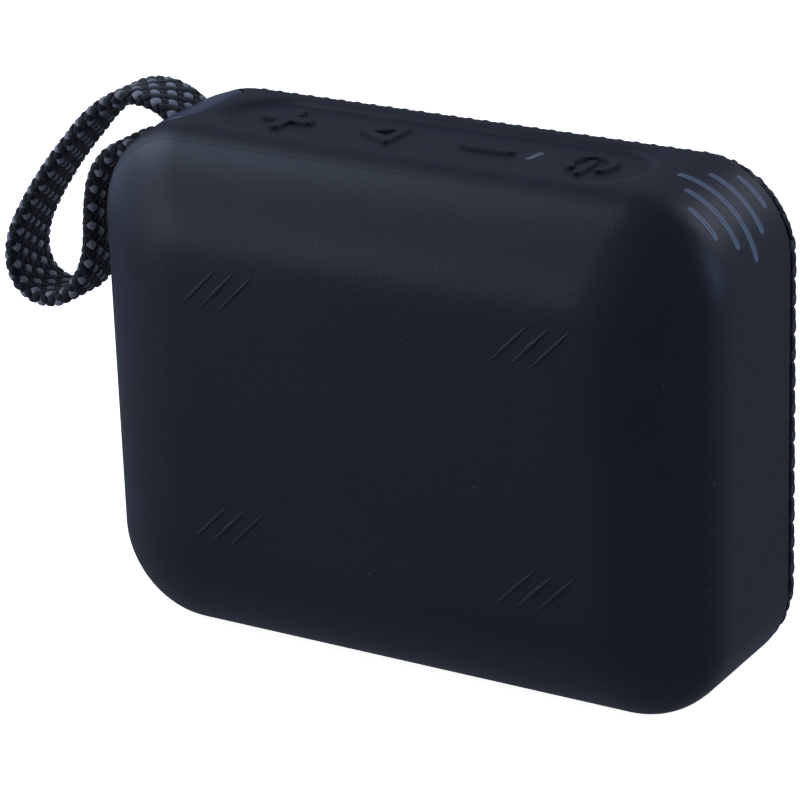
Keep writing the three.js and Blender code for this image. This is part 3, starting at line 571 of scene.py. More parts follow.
def shoulder_station(angle, offset=0.0):
    """Depth and inset on the shoulder's curve, from 0 at the side to a quarter turn at the back."""
    inset = SHOULDER_INSET * (1 - math.cos(angle) ** SHOULDER_POWER)
    y = SHOULDER_Y + (SHOULDER_DEPTH - offset) * math.sin(angle) ** SHOULDER_POWER
    return y, min(inset, SHOULDER_INSET)


def soft_profile():
    """Depth and inset from the side over the shoulder on to the back, without a hard change of bend."""
    fine = [(y, 0.0) for y in np.arange(SHOULDER_Y - 7, SHOULDER_Y, 0.1)]
    fine += [shoulder_station(t) for t in np.linspace(0, math.pi / 2, 400)]
    fine += [(BACK_Y, SHOULDER_INSET + d) for d in np.arange(0.1, 10, 0.1)]
    fine = np.array(fine)
    run = np.r_[0, np.cumsum(np.linalg.norm(np.diff(fine, axis=0), axis=1))]
    even = np.arange(0, run[-1], 0.1)
    line = np.stack([np.interp(even, run, fine[:, k]) for k in (0, 1)], axis=1)
    reach = 45
    weights = np.exp(-np.linspace(-2.2, 2.2, 2 * reach + 1) ** 2 / 2)
    weights /= weights.sum()
    soft = line.copy()
    for k in (0, 1):
        soft[reach:-reach, k] = np.convolve(line[:, k], weights, "valid")
    return soft[reach:-reach:6]


PROFILE = soft_profile()


def shrunk_to(inset):
    """A ring on the flat of the back, `inset` from the body's sides."""
    ring = body_ring(BACK_Y, SHOULDER_INSET)
    centre = np.array([0.0, BACK_Y, HEIGHT / 2])
    half = np.array([HALF_WIDTH - SHOULDER_INSET, 1.0, HEIGHT / 2 - SHOULDER_INSET])
    return centre + (ring - centre) * (half - [inset - SHOULDER_INSET, 0, inset - SHOULDER_INSET]) / half


def shrunk(ring, share):
    """A ring drawn in towards the middle of the back."""
    centre = np.array([0.0, ring[0, 1], HEIGHT / 2])
    return centre + (ring - centre) * [share, 1, share]


def stadium_distance(x, y):
    """Signed distance outside the control strip's outline on the top."""
    half_y = (RECESS_Y[1] - RECESS_Y[0]) / 2
    half_x = (RECESS_X[1] - RECESS_X[0]) / 2
    centre_x, centre_y = sum(RECESS_X) / 2, sum(RECESS_Y) / 2
    return rounded_distance(x - centre_x, y - centre_y, half_x, half_y, half_y)


def press_recess(points):
    """Sinks the control strip's floor into the top, with a soft sloping wall."""
    top = points[:, 2] > HEIGHT - 0.5
    inside = -stadium_distance(points[:, 0], points[:, 1])
    sunk = RECESS_DEPTH * smoothstep(inside / RECESS_SLOPE)
    lip = 0.10 * np.exp(-((inside + 0.25) / 0.45) ** 2)
    points[:, 2] -= np.where(top, sunk + lip, 0)
    return points


def make_skin():
    """The rubber skin as one closed shell, from the middle of its inside to the middle of its back."""
    inner_back = body_ring(BACK_Y - SKIN_THICKNESS, SHOULDER_INSET, SKIN_THICKNESS)
    rows = [shrunk(inner_back, share) for share in (0.02, 0.35, 0.7, 1.0)]
    for k in range(5, -1, -1):
        y, inset = shoulder_station(k / 6 * math.pi / 2, SKIN_THICKNESS)
        rows.append(body_ring(y, inset, SKIN_THICKNESS))
    rows.append(body_ring(RIM_Y + RIM_ROUND, 0, SKIN_THICKNESS))
    for k in range(1, 4):
        turn = k / 4 * math.pi / 2
        y = RIM_Y + RIM_ROUND * (1 - math.sin(turn))
        rows.append(body_ring(y, 0, SKIN_THICKNESS - RIM_ROUND * (1 - math.cos(turn))))
    rows.append(body_ring(RIM_Y, 0, SKIN_THICKNESS - RIM_ROUND))
    rows.append(body_ring(RIM_Y, 0, RIM_ROUND))
    for k in range(1, 5):
        turn = k / 4 * math.pi / 2
        y = RIM_Y + RIM_ROUND * (1 - math.cos(turn))
        rows.append(body_ring(y, 0, RIM_ROUND * (1 - math.sin(turn))))
    for y in np.arange(RIM_Y + 1.0, PROFILE[0, 0] - 0.3, 0.55):
        rows.append(press_recess(body_ring(y, 0)))
    for y, inset in PROFILE:
        ring = body_ring(y, inset) if inset <= SHOULDER_INSET else shrunk_to(inset)
        ring[:, 1] = y
        rows.append(press_recess(ring))
    back = rows[-1]
    rows += [shrunk(back, share) for share in (0.9, 0.7, 0.45, 0.2, 0.02)]
    skin = cut(
        skinned("rubber_skin_moulded", rows),
        corner_plug("plug_cutter", BLOCK_GAP, CORNER_RADIUS + 5, PLUG_FOOT), flap_cutter(),
    )
    smooth_by_angle(skin, 50)
    finish_piece(skin, ROOT, "silicone_skin", MATERIALS["skin"], "rubber_skin")


def make_mould_line():
    """The faint witness line where the two halves of the skin's mould met, round the shoulder."""
    place = int(np.argmin(np.abs(PROFILE[:, 0] - (SHOULDER_Y + MOULD_LINE_DEPTH))))
    y, inset = PROFILE[place]
    tangent = PROFILE[place + 1] - PROFILE[place - 1]
    tangent /= np.linalg.norm(tangent)
    half, proud, foot = MOULD_LINE_HALF, MOULD_LINE_PROUD, -0.04
    section = [
        (-half, foot), (-half / 2, proud / 2), (0, proud), (half / 2, proud / 2), (half, foot), (0, -0.1),
    ]
    along_y, along_inset = tangent
    rows = [
        body_ring(y + across * along_y + lift * along_inset, inset + across * along_inset - lift * along_y)
        for across, lift in section
    ]
    columns = len(rows[0])
    faces = row_faces(len(rows), columns)
    last = (len(rows) - 1) * columns
    faces += [(last + k, last + (k + 1) % columns, (k + 1) % columns, k) for k in range(columns)]
    line = outward(add_object("mould_line", np.vstack(rows), faces))
    finish_piece(line, ROOT, "silicone_skin", MATERIALS["skin"])


# ---------------------------------------------------------------- strap corner

BLOCK_Y = (RIM_Y + 1.0, RIM_Y + 17.3)
BLOCK_HALF = 9.4
BLOCK_SEAT = 3.4
BLOCK_EDGE = 2.5
BLOCK_SWELL = 0.55
BLOCK_ROUND = 0.35
BLOCK_GAP = 0.32  # between the block and the skin round it
PLUG_FOOT = 4.2
SLOT = (-6.8, 5.4)
SLOT_SIDE = 6.2
SLOT_FOOT = 4.6
STRAP_Y = RIM_Y + 9.2
OUT = np.array([1.0, 0.0, 1.0]) / math.sqrt(2)
ACROSS = np.array([-1.0, 0.0, 1.0]) / math.sqrt(2)
SIDEWAYS = np.array([0.0, 1.0, 0.0])
CORNER = np.array([CORNER_X, 0.0, CORNER_Z])


def across_corner(along_y, across, out):
    """Points from depth, place across the corner and distance out from its centre."""
    along_y, across, out = np.broadcast_arrays(along_y, across, out)
    return CORNER + out[:, None] * OUT + across[:, None] * ACROSS + along_y[:, None] * SIDEWAYS


def corner_plug(name, grow, top, foot):
    """A straight rounded prism through the strap corner."""
    half_y = (BLOCK_Y[1] - BLOCK_Y[0]) / 2 + grow
    ring = rounded_rect(half_y, BLOCK_HALF + grow, BLOCK_EDGE + grow, 8)
    middle = sum(BLOCK_Y) / 2
    rows = [across_corner(ring[:, 0] + middle, ring[:, 1], np.array([out])) for out in (foot, top)]
    return skinned(name, rows)


def make_block():
    """The satin block in the corner, flush with the skin, with the strap's slot through it."""
    middle = sum(BLOCK_Y) / 2
    half_y = (BLOCK_Y[1] - BLOCK_Y[0]) / 2
    base = denser(rounded_rect(half_y, BLOCK_HALF, BLOCK_EDGE, 10))

    def crowned(points):
        """The corner's round, with the block's own slight swell."""
        swell = (1 - (np.abs(points[:, 0]) / half_y) ** 4) * (1 - (np.abs(points[:, 1]) / BLOCK_HALF) ** 4)
        return np.sqrt(CORNER_RADIUS ** 2 - points[:, 1] ** 2) + BLOCK_SWELL * swell

    def level(share, sink):
        """One row of the block's top, drawn in to a share of its outline and sunk at its rounded edge."""
        now = base * share
        return across_corner(now[:, 0] + middle, now[:, 1], crowned(now) - sink)

    rows = [across_corner(base[:, 0] + middle, base[:, 1], np.array([BLOCK_SEAT]))]
    edge = [(0.0, 1.2), (0.0, BLOCK_ROUND), (0.1, 0.13), (0.22, 0.04), (BLOCK_ROUND, 0.0), (0.8, 0.0)]
    rows += [level(1 - draw / BLOCK_HALF, sink) for draw, sink in edge]
    rows += [level(share, 0.0) for share in (0.88, 0.84, 0.8, 0.7, 0.6, 0.5, 0.4, 0.3, 0.2, 0.02)]
    slot_ring = rounded_rect(SLOT_SIDE, (SLOT[1] - SLOT[0]) / 2, 1.0, 6)
    slot_rows = [
        across_corner(slot_ring[:, 0] + STRAP_Y, slot_ring[:, 1] + sum(SLOT) / 2, np.array([out]))
        for out in (SLOT_FOOT, CORNER_RADIUS + 4)
    ]
    block = cut(skinned("strap_corner_block", rows), skinned("slot_cutter", slot_rows))
    smooth_by_angle(block, 40)
    finish_piece(block, ROOT, "strap_block_pc", MATERIALS["block"], "strap_block")


# ---------------------------------------------------------------- braided strap

# Middle of the strap in X and Z from its pin, in millimetres, as the design has it.
STRAP_ROUTE = [
    (-2.16, -1.94), (-2.9, 0), (-2.5, 1.5), (-1.4, 3.4), (0.1, 5.1), (2, 6.6), (4.4, 7.9), (7.5, 8.6),
    (10.9, 8.3), (13.8, 7), (16.6, 5), (19, 2.8), (21.3, 0.2), (23.5, -2.3), (25.7, -4.9), (27.9, -7.8),
    (29.9, -10.6), (31.7, -13.4), (33.4, -16.4), (34.6, -19.7), (34.9, -23.1), (33.8, -26.1), (31.2, -28),
    (27.7, -28.3), (24.5, -27.1), (21.9, -24.4), (20.1, -21.1), (19.1, -17.5), (18.8, -14.1), (18.4, -10.7),
    (17.7, -7.2), (16.3, -4.1), (13.9, -1.5), (11.2, -0.1), (8.6, 0.3), (6.2, -0.4), (3.8, -1.7), (2, -2.4),
    (0.7, -2.8), (-0.4, -2.85), (-1.4, -2.5),
]
PIN_SEAT = 9.33
PIN = CORNER + OUT * PIN_SEAT
STRAP_WIDTH = 11.0
STRAP_THICKNESS = 2.5


def smooth_path(points, step):
    """A Catmull-Rom line through points, in even steps of about `step`."""
    points = np.array(points, float)
    padded = np.vstack([2 * points[0] - points[1], points, 2 * points[-1] - points[-2]])
    fine = []
    for k in range(1, len(padded) - 2):
        p0, p1, p2, p3 = padded[k - 1:k + 3]
        for t in np.linspace(0, 1, 24, endpoint=False):
            fine.append(0.5 * (
                2 * p1 + (p2 - p0) * t + (2 * p0 - 5 * p1 + 4 * p2 - p3) * t ** 2
                + (3 * p1 - p0 - 3 * p2 + p3) * t ** 3
            ))
    fine = np.array(fine + [points[-1]])
    run = np.r_[0, np.cumsum(np.linalg.norm(np.diff(fine, axis=0), axis=1))]
    count = int(round(run[-1] / step)) + 1
    even = np.linspace(0, run[-1], count)
    return np.stack([np.interp(even, run, fine[:, axis]) for axis in (0, 1)], axis=1), even


STRAP_FLAT, STRAP_RUN = smooth_path(STRAP_ROUTE, 0.35)
STRAP_LINE = np.stack([
    STRAP_FLAT[:, 0] + PIN[0], np.full(len(STRAP_FLAT), STRAP_Y), STRAP_FLAT[:, 1] + PIN[2],
], axis=1)


def strap_normals():
    """Outward directions along the strap's line."""
    tangent = np.gradient(STRAP_LINE, axis=0)
    tangent /= np.linalg.norm(tangent, axis=1, keepdims=True)
    return np.stack([-tangent[:, 2], np.zeros(len(tangent)), tangent[:, 0]], axis=1)


def flat_section(share, half_width, half_thick):
    """Point and outward normal on a flattened loop, at a share of the way round it."""
    straight = 2 * (half_width - half_thick)
    arc = math.pi * half_thick
    run = np.mod(share, 1.0) * (2 * straight + 2 * arc)
    width, thick = np.zeros_like(run), np.zeros_like(run)
    nw, nt = np.zeros_like(run), np.zeros_like(run)
    end = half_width - half_thick
    first = run < straight
    width[first], thick[first], nt[first] = -end + run[first], half_thick, 1.0
    second = (run >= straight) & (run < straight + arc)
    turn = (run[second] - straight) / half_thick
    nw[second], nt[second] = np.sin(turn), np.cos(turn)
    width[second], thick[second] = end + half_thick * nw[second], half_thick * nt[second]
    third = (run >= straight + arc) & (run < 2 * straight + arc)
    width[third], thick[third], nt[third] = end - (run[third] - straight - arc), -half_thick, -1.0
    fourth = run >= 2 * straight + arc
    turn = (run[fourth] - 2 * straight - arc) / half_thick
    nw[fourth], nt[fourth] = -np.sin(turn), -np.cos(turn)
    width[fourth], thick[fourth] = -end + half_thick * nw[fourth], half_thick * nt[fourth]
    return width, thick, nw, nt


BRAID_CARRIERS = 10  # yarns in each direction
BRAID_LAY = 16.5  # millimetres of strap for one turn of a yarn
BRAID_LIFT = 0.23  # how far a yarn rises over the one it crosses
YARN_WIDTH = 1.36
YARN_THICKNESS = 0.56


def points_object(name, places, edges=(), **directions):
    """A mesh of points, with edges between them if given, that carry their own directions by name."""
    mesh = bpy.data.meshes.new(name)
    mesh.from_pydata((np.array(places) * MM).tolist(), edges, [])
    for label, values in directions.items():
        attribute = mesh.attributes.new(label, "FLOAT_VECTOR", "POINT")
        attribute.data.foreach_set("vector", np.array(values, float).ravel())
    return linked(name, mesh)


def braid_lines(name, family, chosen):
    """One line for each chosen yarn of one direction of the braid, carrying which way is outwards."""
    normal = strap_normals()
    places, outs, edges = [], [], []
    for carrier in chosen:
        share = carrier / BRAID_CARRIERS + family * STRAP_RUN / BRAID_LAY
        width, thick, nw, nt = flat_section(share, STRAP_WIDTH / 2 - 0.5, STRAP_THICKNESS / 2 - 0.42)
        other = BRAID_CARRIERS * (share + family * STRAP_RUN / BRAID_LAY)
        lift = family * BRAID_LIFT * np.cos(math.pi * (other + carrier))
        first = len(places)
        places += list(
            STRAP_LINE + (width + lift * nw)[:, None] * SIDEWAYS + (thick + lift * nt)[:, None] * normal
        )
        outs += list(nw[:, None] * SIDEWAYS + nt[:, None] * normal)
        edges += [(k, k + 1) for k in range(first, len(places) - 1)]
    return points_object(name, places, edges, out=outs)


def new_group(name, inputs):
    """A geometry node group with a geometry input, named inputs and a geometry output."""
    group = bpy.data.node_groups.new(name, "GeometryNodeTree")
    group.interface.new_socket("Geometry", in_out="INPUT", socket_type="NodeSocketGeometry")
    identifiers = {}
    for label, kind in inputs:
        socket = group.interface.new_socket(label, in_out="INPUT", socket_type=kind)
        identifiers[label] = socket.identifier
    group.interface.new_socket("Geometry", in_out="OUTPUT", socket_type="NodeSocketGeometry")
    source = group.nodes.new("NodeGroupInput")
    sink = group.nodes.new("NodeGroupOutput")
    return group, source, sink, identifiers


def close_group(group, source, sink, geometry):
    """Ends a group: smooth shading, real geometry in place of instances, and the material it is given."""
    smooth = add_node(group, "GeometryNodeSetShadeSmooth", Geometry=geometry, Shade_Smooth=True)
    real = add_node(group, "GeometryNodeRealizeInstances", Geometry=smooth.outputs[0])
    painted = add_node(
        group, "GeometryNodeSetMaterial", Geometry=real.outputs[0], Material=source.outputs["Material"],
    )
    group.links.new(painted.outputs[0], sink.inputs[0])


def run_group(made, group, identifiers, values):
    """Runs a node group on an object and returns the plain mesh that it makes."""
    modifier = made.modifiers.new(group.name, "NODES")
    modifier.node_group = group
    for label, value in values.items():
        modifier[identifiers[label]] = value
    return baked(made)


def yarn_group():
    """Sweeps a flat oval section along every line, with its flat side outwards."""
    group, source, sink, identifiers = new_group("yarn_sweep", [
        ("Yarn Width", "NodeSocketFloat"), ("Yarn Thickness", "NodeSocketFloat"), ("Sides", "NodeSocketInt"),
        ("Material", "NodeSocketMaterial"),
    ])
    lines = add_node(group, "GeometryNodeMeshToCurve", Mesh=source.outputs["Geometry"])
    out = add_node(group, "GeometryNodeInputNamedAttribute", {"data_type": "FLOAT_VECTOR"}, Name="out")
    faced = add_node(
        group, "GeometryNodeSetCurveNormal", {"mode": "FREE"}, Curve=lines.outputs[0], Normal=out.outputs[0],
    )
    circle = add_node(
        group, "GeometryNodeCurvePrimitiveCircle", Resolution=source.outputs["Sides"], Radius=0.5,
    )
    size = add_node(
        group, "ShaderNodeCombineXYZ",
        X=source.outputs["Yarn Thickness"], Y=source.outputs["Yarn Width"], Z=1.0,
    )
    section = add_node(group, "GeometryNodeTransform", Geometry=circle.outputs[0], Scale=size.outputs[0])
    swept = add_node(
        group, "GeometryNodeCurveToMesh",
        Curve=faced.outputs[0], Profile_Curve=section.outputs[0], Fill_Caps=True,
    )
    close_group(group, source, sink, swept.outputs[0])
    return group, identifiers


def join(name, *objects):
    """Joins mesh objects into the first, with their materials, under a new name."""
    first = objects[0]
    with bpy.context.temp_override(active_object=first, selected_editable_objects=list(objects)):
        bpy.ops.object.join()
    first.name = name
    first.data.name = name
    return first


def make_strap():
    """The flat tubular braid: yarns over a dark core, every other yarn of one direction in light grey."""
    group, identifiers = yarn_group()
    pieces = []
    families = [
        ("braid_light", 1, range(0, BRAID_CARRIERS, 2), MATERIALS["yarn_light"]),
        ("braid_dark", 1, range(1, BRAID_CARRIERS, 2), MATERIALS["yarn_dark"]),
        ("braid_return", -1, range(BRAID_CARRIERS), MATERIALS["yarn_dark"]),
    ]
    for name, family, chosen, material in families:
        pieces.append(run_group(braid_lines(name, family, chosen), group, identifiers, {
            "Yarn Width": YARN_WIDTH * MM, "Yarn Thickness": YARN_THICKNESS * MM, "Sides": 8,
            "Material": material,
        }))
    width, thick, _, _ = flat_section(
        np.linspace(0, 1, 24, endpoint=False), STRAP_WIDTH / 2 - 0.55, STRAP_THICKNESS / 2 - 0.45,
    )
    core = skinned("braid_core", [
        point + width[:, None] * SIDEWAYS + thick[:, None] * out
        for point, out in zip(STRAP_LINE[::4], strap_normals()[::4])
    ])
    core.data.materials.append(MATERIALS["yarn_dark"])
    strap = join("braided_strap", core, *pieces)
    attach(strap, ROOT)
    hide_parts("strap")


# ---------------------------------------------------------------- woven grille

FABRIC_EDGE = 3.7
FABRIC_SEAM = 0.3
WARP_PITCH = 1.45  # across the front
WEFT_PITCH = 2.2  # up the front
WARP_FLOAT = (2.9, 1.5, 1.15)  # length, width and height of the yarn that shows between two crossings
WEFT_FLOAT = (2.1, 2.1, 0.95)
CLOTH_FRONT = 0.25  # the backing cloth's two faces, under the cover's own surface
CLOTH_BACK = 0.9


def weave_points():
    """Crossings of the weave over the rounded front: place, outward normal, float's run and if it is weft."""
    flat_x = HALF_WIDTH - FABRIC_SEAM - FABRIC_EDGE
    flat_z = HEIGHT / 2 - FABRIC_SEAM - FABRIC_EDGE
    flat_radius = CORNER_RADIUS - FABRIC_SEAM - FABRIC_EDGE
    reach = FABRIC_EDGE * math.pi / 2
    columns = int((flat_x + reach) / WARP_PITCH)
    rows = int((flat_z + reach) / WEFT_PITCH)

    def beyond(x, z):
        """Distance outside the flat of the front."""
        return float(rounded_distance(x, z, flat_x, flat_z, flat_radius))

    crossings = []
    for i in range(-columns, columns + 1):
        for j in range(-rows, rows + 1):
            x, z = i * WARP_PITCH, j * WEFT_PITCH
            d = beyond(x, z)
            if d > reach - 0.25:
                continue
            weft = bool((i + j) % 2)
            run = np.array([1.0, 0.0, 0.0]) if weft else np.array([0.0, 0.0, 1.0])
            if d <= 0:
                place, normal = np.array([x, FRONT_Y, z]), -SIDEWAYS
            else:
                nudge = 1e-3
                grad = np.array([beyond(x + nudge, z) - d, 0.0, beyond(x, z + nudge) - d]) / nudge
                grad /= np.linalg.norm(grad)
                turn = d / FABRIC_EDGE
                place = np.array([x, 0.0, z]) - grad * d + grad * FABRIC_EDGE * math.sin(turn)
                place[1] = FRONT_Y + FABRIC_EDGE * (1 - math.cos(turn))
                normal = grad * math.sin(turn) - SIDEWAYS * math.cos(turn)
                # The yarn that runs into the edge bends over it.
                over = grad * math.cos(turn) + SIDEWAYS * math.sin(turn)
                level = np.cross(grad, SIDEWAYS)
                run = over * float(run @ grad) + level * float(run @ level)
                run /= np.linalg.norm(run)
            crossings.append((place + [0.0, 0.0, HEIGHT / 2], normal, run, weft))
    return crossings


def weave_group():
    """Sets a flattened yarn float on every point, turned to its stored axes."""
    group, source, sink, identifiers = new_group("weave_floats", [
        ("Float Length", "NodeSocketFloat"), ("Float Width", "NodeSocketFloat"),
        ("Float Height", "NodeSocketFloat"), ("Material", "NodeSocketMaterial"),
    ])
    ball = add_node(group, "GeometryNodeMeshUVSphere", Segments=7, Rings=5, Radius=0.5)
    size = add_node(
        group, "ShaderNodeCombineXYZ", X=source.outputs["Float Length"], Y=source.outputs["Float Width"],
        Z=source.outputs["Float Height"],
    )
    shaped = add_node(group, "GeometryNodeTransform", Geometry=ball.outputs[0], Scale=size.outputs[0])
    normal = add_node(group, "GeometryNodeInputNamedAttribute", {"data_type": "FLOAT_VECTOR"}, Name="out")
    run = add_node(group, "GeometryNodeInputNamedAttribute", {"data_type": "FLOAT_VECTOR"}, Name="run")
    axes = add_node(
        group, "FunctionNodeAxesToRotation", {"primary_axis": "Z", "secondary_axis": "X"},
        i0=normal.outputs[0], i1=run.outputs[0],
    )
    floats = add_node(
        group, "GeometryNodeInstanceOnPoints", Points=source.outputs["Geometry"],
        Instance=shaped.outputs[0], Rotation=axes.outputs[0],
    )
    close_group(group, source, sink, floats.outputs[0])
    return group, identifiers


def front_ring(angle, depth):
    """The fabric's outline part of the way over its rounded edge, `depth` under its surface."""
    inset = FABRIC_SEAM + FABRIC_EDGE * (1 - math.cos(angle)) + depth * math.cos(angle)
    y = RIM_Y - FABRIC_SEAM - (FABRIC_EDGE - depth) * math.sin(angle)
    return y, inset


def make_grille():
    """The chunky woven cover: a backing cloth with every float of the weave standing on it."""
    crossings = weave_points()
    group, identifiers = weave_group()
    pieces = []
    for name, weft, size in (("warp_floats", False, WARP_FLOAT), ("weft_floats", True, WEFT_FLOAT)):
        chosen = [(place, normal, run) for place, normal, run, is_weft in crossings if is_weft == weft]
        # Floats on the top and bottom edge sink in, where the cover is pulled tight over its rim.
        cloud = points_object(
            name, [place + normal * (0.10 - 0.70 * abs(normal[2])) for place, normal, _ in chosen],
            out=[normal for _, normal, _ in chosen], run=[run for _, _, run in chosen],
        )
        length, width, height = (value * MM for value in size)
        pieces.append(run_group(cloud, group, identifiers, {
            "Float Length": length, "Float Width": width, "Float Height": height,
            "Material": MATERIALS["grille_yarn"],
        }))
    back_y, back_inset = front_ring(0.0, CLOTH_BACK)
    inner_y, inner_inset = front_ring(math.pi / 2, CLOTH_BACK)
    rows = [
        shrunk(body_ring(inner_y, inner_inset), 0.02), body_ring(inner_y, inner_inset + 0.6),
        body_ring(back_y, back_inset),
    ]
    rows += [body_ring(*front_ring(k / 8 * math.pi / 2, CLOTH_FRONT)) for k in range(9)]
    front = body_ring(rows[-1][0, 1], inner_inset)
    rows += [shrunk(front, share) for share in (0.9, 0.6, 0.3, 0.02)]
    cloth = skinned("grille_backing_cloth", rows)
    finish_piece(cloth, ROOT, "grille_fabric", MATERIALS["grille_yarn"])
    weave = join("grille_weave", *pieces)
    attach(weave, ROOT)
    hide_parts("grille_fabric")


# ---------------------------------------------------------------- raised symbols

KEY_Y = RIM_Y + 10.7
KEY_FIRST = 27.0
KEY_PITCH = 17.8
SYMBOL_HEIGHT = 0.52
SYMBOL_EDGE = 0.035  # rounding of a symbol's top edge
SYMBOL_FOOT = 0.34  # how far its soft foot spreads on the floor
SYMBOL_GRID = 0.08


def segment_distance(x, y, a, b):
    """Distance from a straight stroke's middle line."""
    along = np.array(b) - np.array(a)
    share = np.clip(((x - a[0]) * along[0] + (y - a[1]) * along[1]) / (along @ along), 0, 1)
    return np.hypot(x - a[0] - share * along[0], y - a[1] - share * along[1])


def plus_distance(x, y):
    """Distance outside the plus."""
    reach = 3.7
    level = segment_distance(x, y, (-reach, 0), (reach, 0))
    upright = segment_distance(x, y, (0, -reach), (0, reach))
    return np.minimum(level, upright) - 1.05


def play_distance(x, y):
    """Distance outside the open triangle."""
    corners = [(-1.75, -3.1), (3.75, 0.0), (-1.75, 3.1)]
    strokes = [segment_distance(x, y, corners[k], corners[(k + 1) % 3]) for k in range(3)]
    return np.minimum(np.minimum(strokes[0], strokes[1]), strokes[2]) - 0.78


def minus_distance(x, y):
    """Distance outside the minus."""
    return segment_distance(x, y, (-3.9, 0), (3.9, 0)) - 0.9


def power_distance(x, y):
    """Distance outside the open ring and its upright stroke."""
    radius, stroke, half_gap = 3.35, 0.76, 0.78
    angle = np.arctan2(x, y)
    ring = np.abs(np.hypot(x, y) - radius)
    ends = [
        np.hypot(x - side * radius * math.sin(half_gap), y - radius * math.cos(half_gap)) for side in (-1, 1)
    ]
    ring = np.where(np.abs(angle) < half_gap, np.minimum(*ends), ring)
    return np.minimum(ring, segment_distance(x, y, (0, -0.3), (0, 4.5))) - stroke


def make_symbol(name, node, centre_x, distance):
    """A raised rubber symbol with rounded edges and a soft foot that runs into the floor."""
    reach = 6.2
    count = int(2 * reach / SYMBOL_GRID) + 1
    line = np.linspace(-reach, reach, count)
    x, y = np.meshgrid(line, line, indexing="ij")
    d = distance(x, y)
    # Points beside the outline slide on to it, so that its walls stand upright with a crisp edge.
    nudge = 1e-4
    slope_x = (distance(x + nudge, y) - distance(x - nudge, y)) / (2 * nudge)
    slope_y = (distance(x, y + nudge) - distance(x, y - nudge)) / (2 * nudge)
    beside = np.abs(d) < 0.72 * SYMBOL_GRID
    shift = np.where(beside, np.where(d > 0, 0.035, -0.03) - d, 0.0)
    x, y = x + shift * slope_x, y + shift * slope_y
    raised = FLOOR_Z + SYMBOL_HEIGHT - SYMBOL_EDGE * np.exp(-np.clip(-d, 0, 1) / 0.09)
    low = FLOOR_Z + 0.014 - 0.06 * smoothstep(d / SYMBOL_FOOT)
    top = np.where(d > 0, low, raised)
    kept = d < SYMBOL_FOOT
    index = -np.ones_like(d, dtype=int)
    index[kept] = np.arange(kept.sum())
    upper = np.stack([x[kept] + centre_x, y[kept] + KEY_Y, top[kept]], axis=1)
    lower = upper.copy()
    lower[:, 2] = FLOOR_Z - 0.2
    total = len(upper)
    faces, edges = [], {}
    for i in range(count - 1):
        for j in range(count - 1):
            ring = [index[i, j], index[i + 1, j], index[i + 1, j + 1], index[i, j + 1]]
            if min(ring) < 0:
                continue
            faces.append(tuple(ring))
            faces.append(tuple(total + k for k in reversed(ring)))
            for a, b in zip(ring, ring[1:] + ring[:1]):
                edges[(a, b)] = edges.get((a, b), 0) + 1
    for a, b in edges:
        if (b, a) not in edges:
            faces.append((b, a, total + a, total + b))
    symbol = add_object(name, np.vstack([upper, lower]), faces)
    smooth_by_angle(symbol, 38)
    finish_piece(symbol, None, "button_rubber", MATERIALS["keys"], node)
    return symbol


def make_symbols():
    """The four raised symbols, each with its soft foot, placed along the control strip."""
    shapes = {
        "plus": plus_distance, "play": play_distance, "minus": minus_distance, "power": power_distance,
    }
    for place, (name, distance) in enumerate(shapes.items()):
        centre_x = KEY_FIRST - KEY_PITCH * place
        symbol = make_symbol(f"{name}_symbol", f"{name}_button", centre_x, distance)
        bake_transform(symbol)


def make_light():
    """The status light's small slanted window, level with the floor."""
    centre_x, centre_y, length, width, lean = -16.5, RIM_Y + 10.2, 3.8, 1.0, 0.12
    ring = rounded_rect(width / 2, length / 2, 0.35, 6)
    rows = []
    for draw, z in ((0.0, -1.0), (0.0, 0.01), (0.06, 0.035), (0.2, 0.04)):
        x = ring[:, 0] * (1 - 2 * draw / width)
        y = ring[:, 1] * (1 - 2 * draw / length)
        rows.append(np.stack([x + centre_x + y * lean, y + centre_y, np.full(len(x), FLOOR_Z + z)], axis=1))
    window = skinned("status_window", rows)
    finish_piece(window, ROOT, "diffuser", MATERIALS["diffuser"], "status_light_pipe")


# ---------------------------------------------------------------- corner stripes and back ribs

# Each stripe's depth behind the rim, and its start and end in degrees round the corner.
STRIPES = [(3.0, 35, 60), (7.0, 24, 71), (11.0, 12, 83), (15.0, 24, 71), (19.2, 35, 60)]
STRIPE_WIDTH = 1.3
RIB_GROUP_X, RIB_GROUP_Z = 27.4, 19.6  # each group's middle, from the middle of the back
RIB_PITCH = 3.4
RIB_SIZE = (9.6, 0.72, 0.42)  # length, width and height
RIB_CENTRE_SIZE = (4.2, 0.95, 0.62)


def make_stripes():
    """Five printed stripes round the left-hand top corner, longest in the middle."""
    half = STRIPE_WIDTH / 2
    for place, (depth, start, end) in enumerate(STRIPES):
        half_run = math.radians(end - start) / 2 * CORNER_RADIUS
        ring = denser(rounded_rect(half, half_run, half - 0.01, 10))
        rows = []
        for draw, lift in ((0.0, -0.3), (0.0, 0.0), (0.06, 0.035), (0.18, 0.05), (0.4, 0.055), (0.62, 0.055)):
            across = ring[:, 0] * (1 - draw / half)
            run = ring[:, 1] - np.sign(ring[:, 1]) * np.minimum(draw, np.abs(ring[:, 1]))
            angle = math.radians((start + end) / 2) + run / CORNER_RADIUS
            radius = CORNER_RADIUS + lift
            rows.append(np.stack([
                -CORNER_X - radius * np.cos(angle), RIM_Y + depth + across, CORNER_Z + radius * np.sin(angle),
            ], axis=1))
        stripe = skinned(f"printed_stripe_{place + 1}", rows)
        finish_piece(stripe, ROOT, "stripe_ink", MATERIALS["stripes"], f"corner_stripe_{place + 1}")


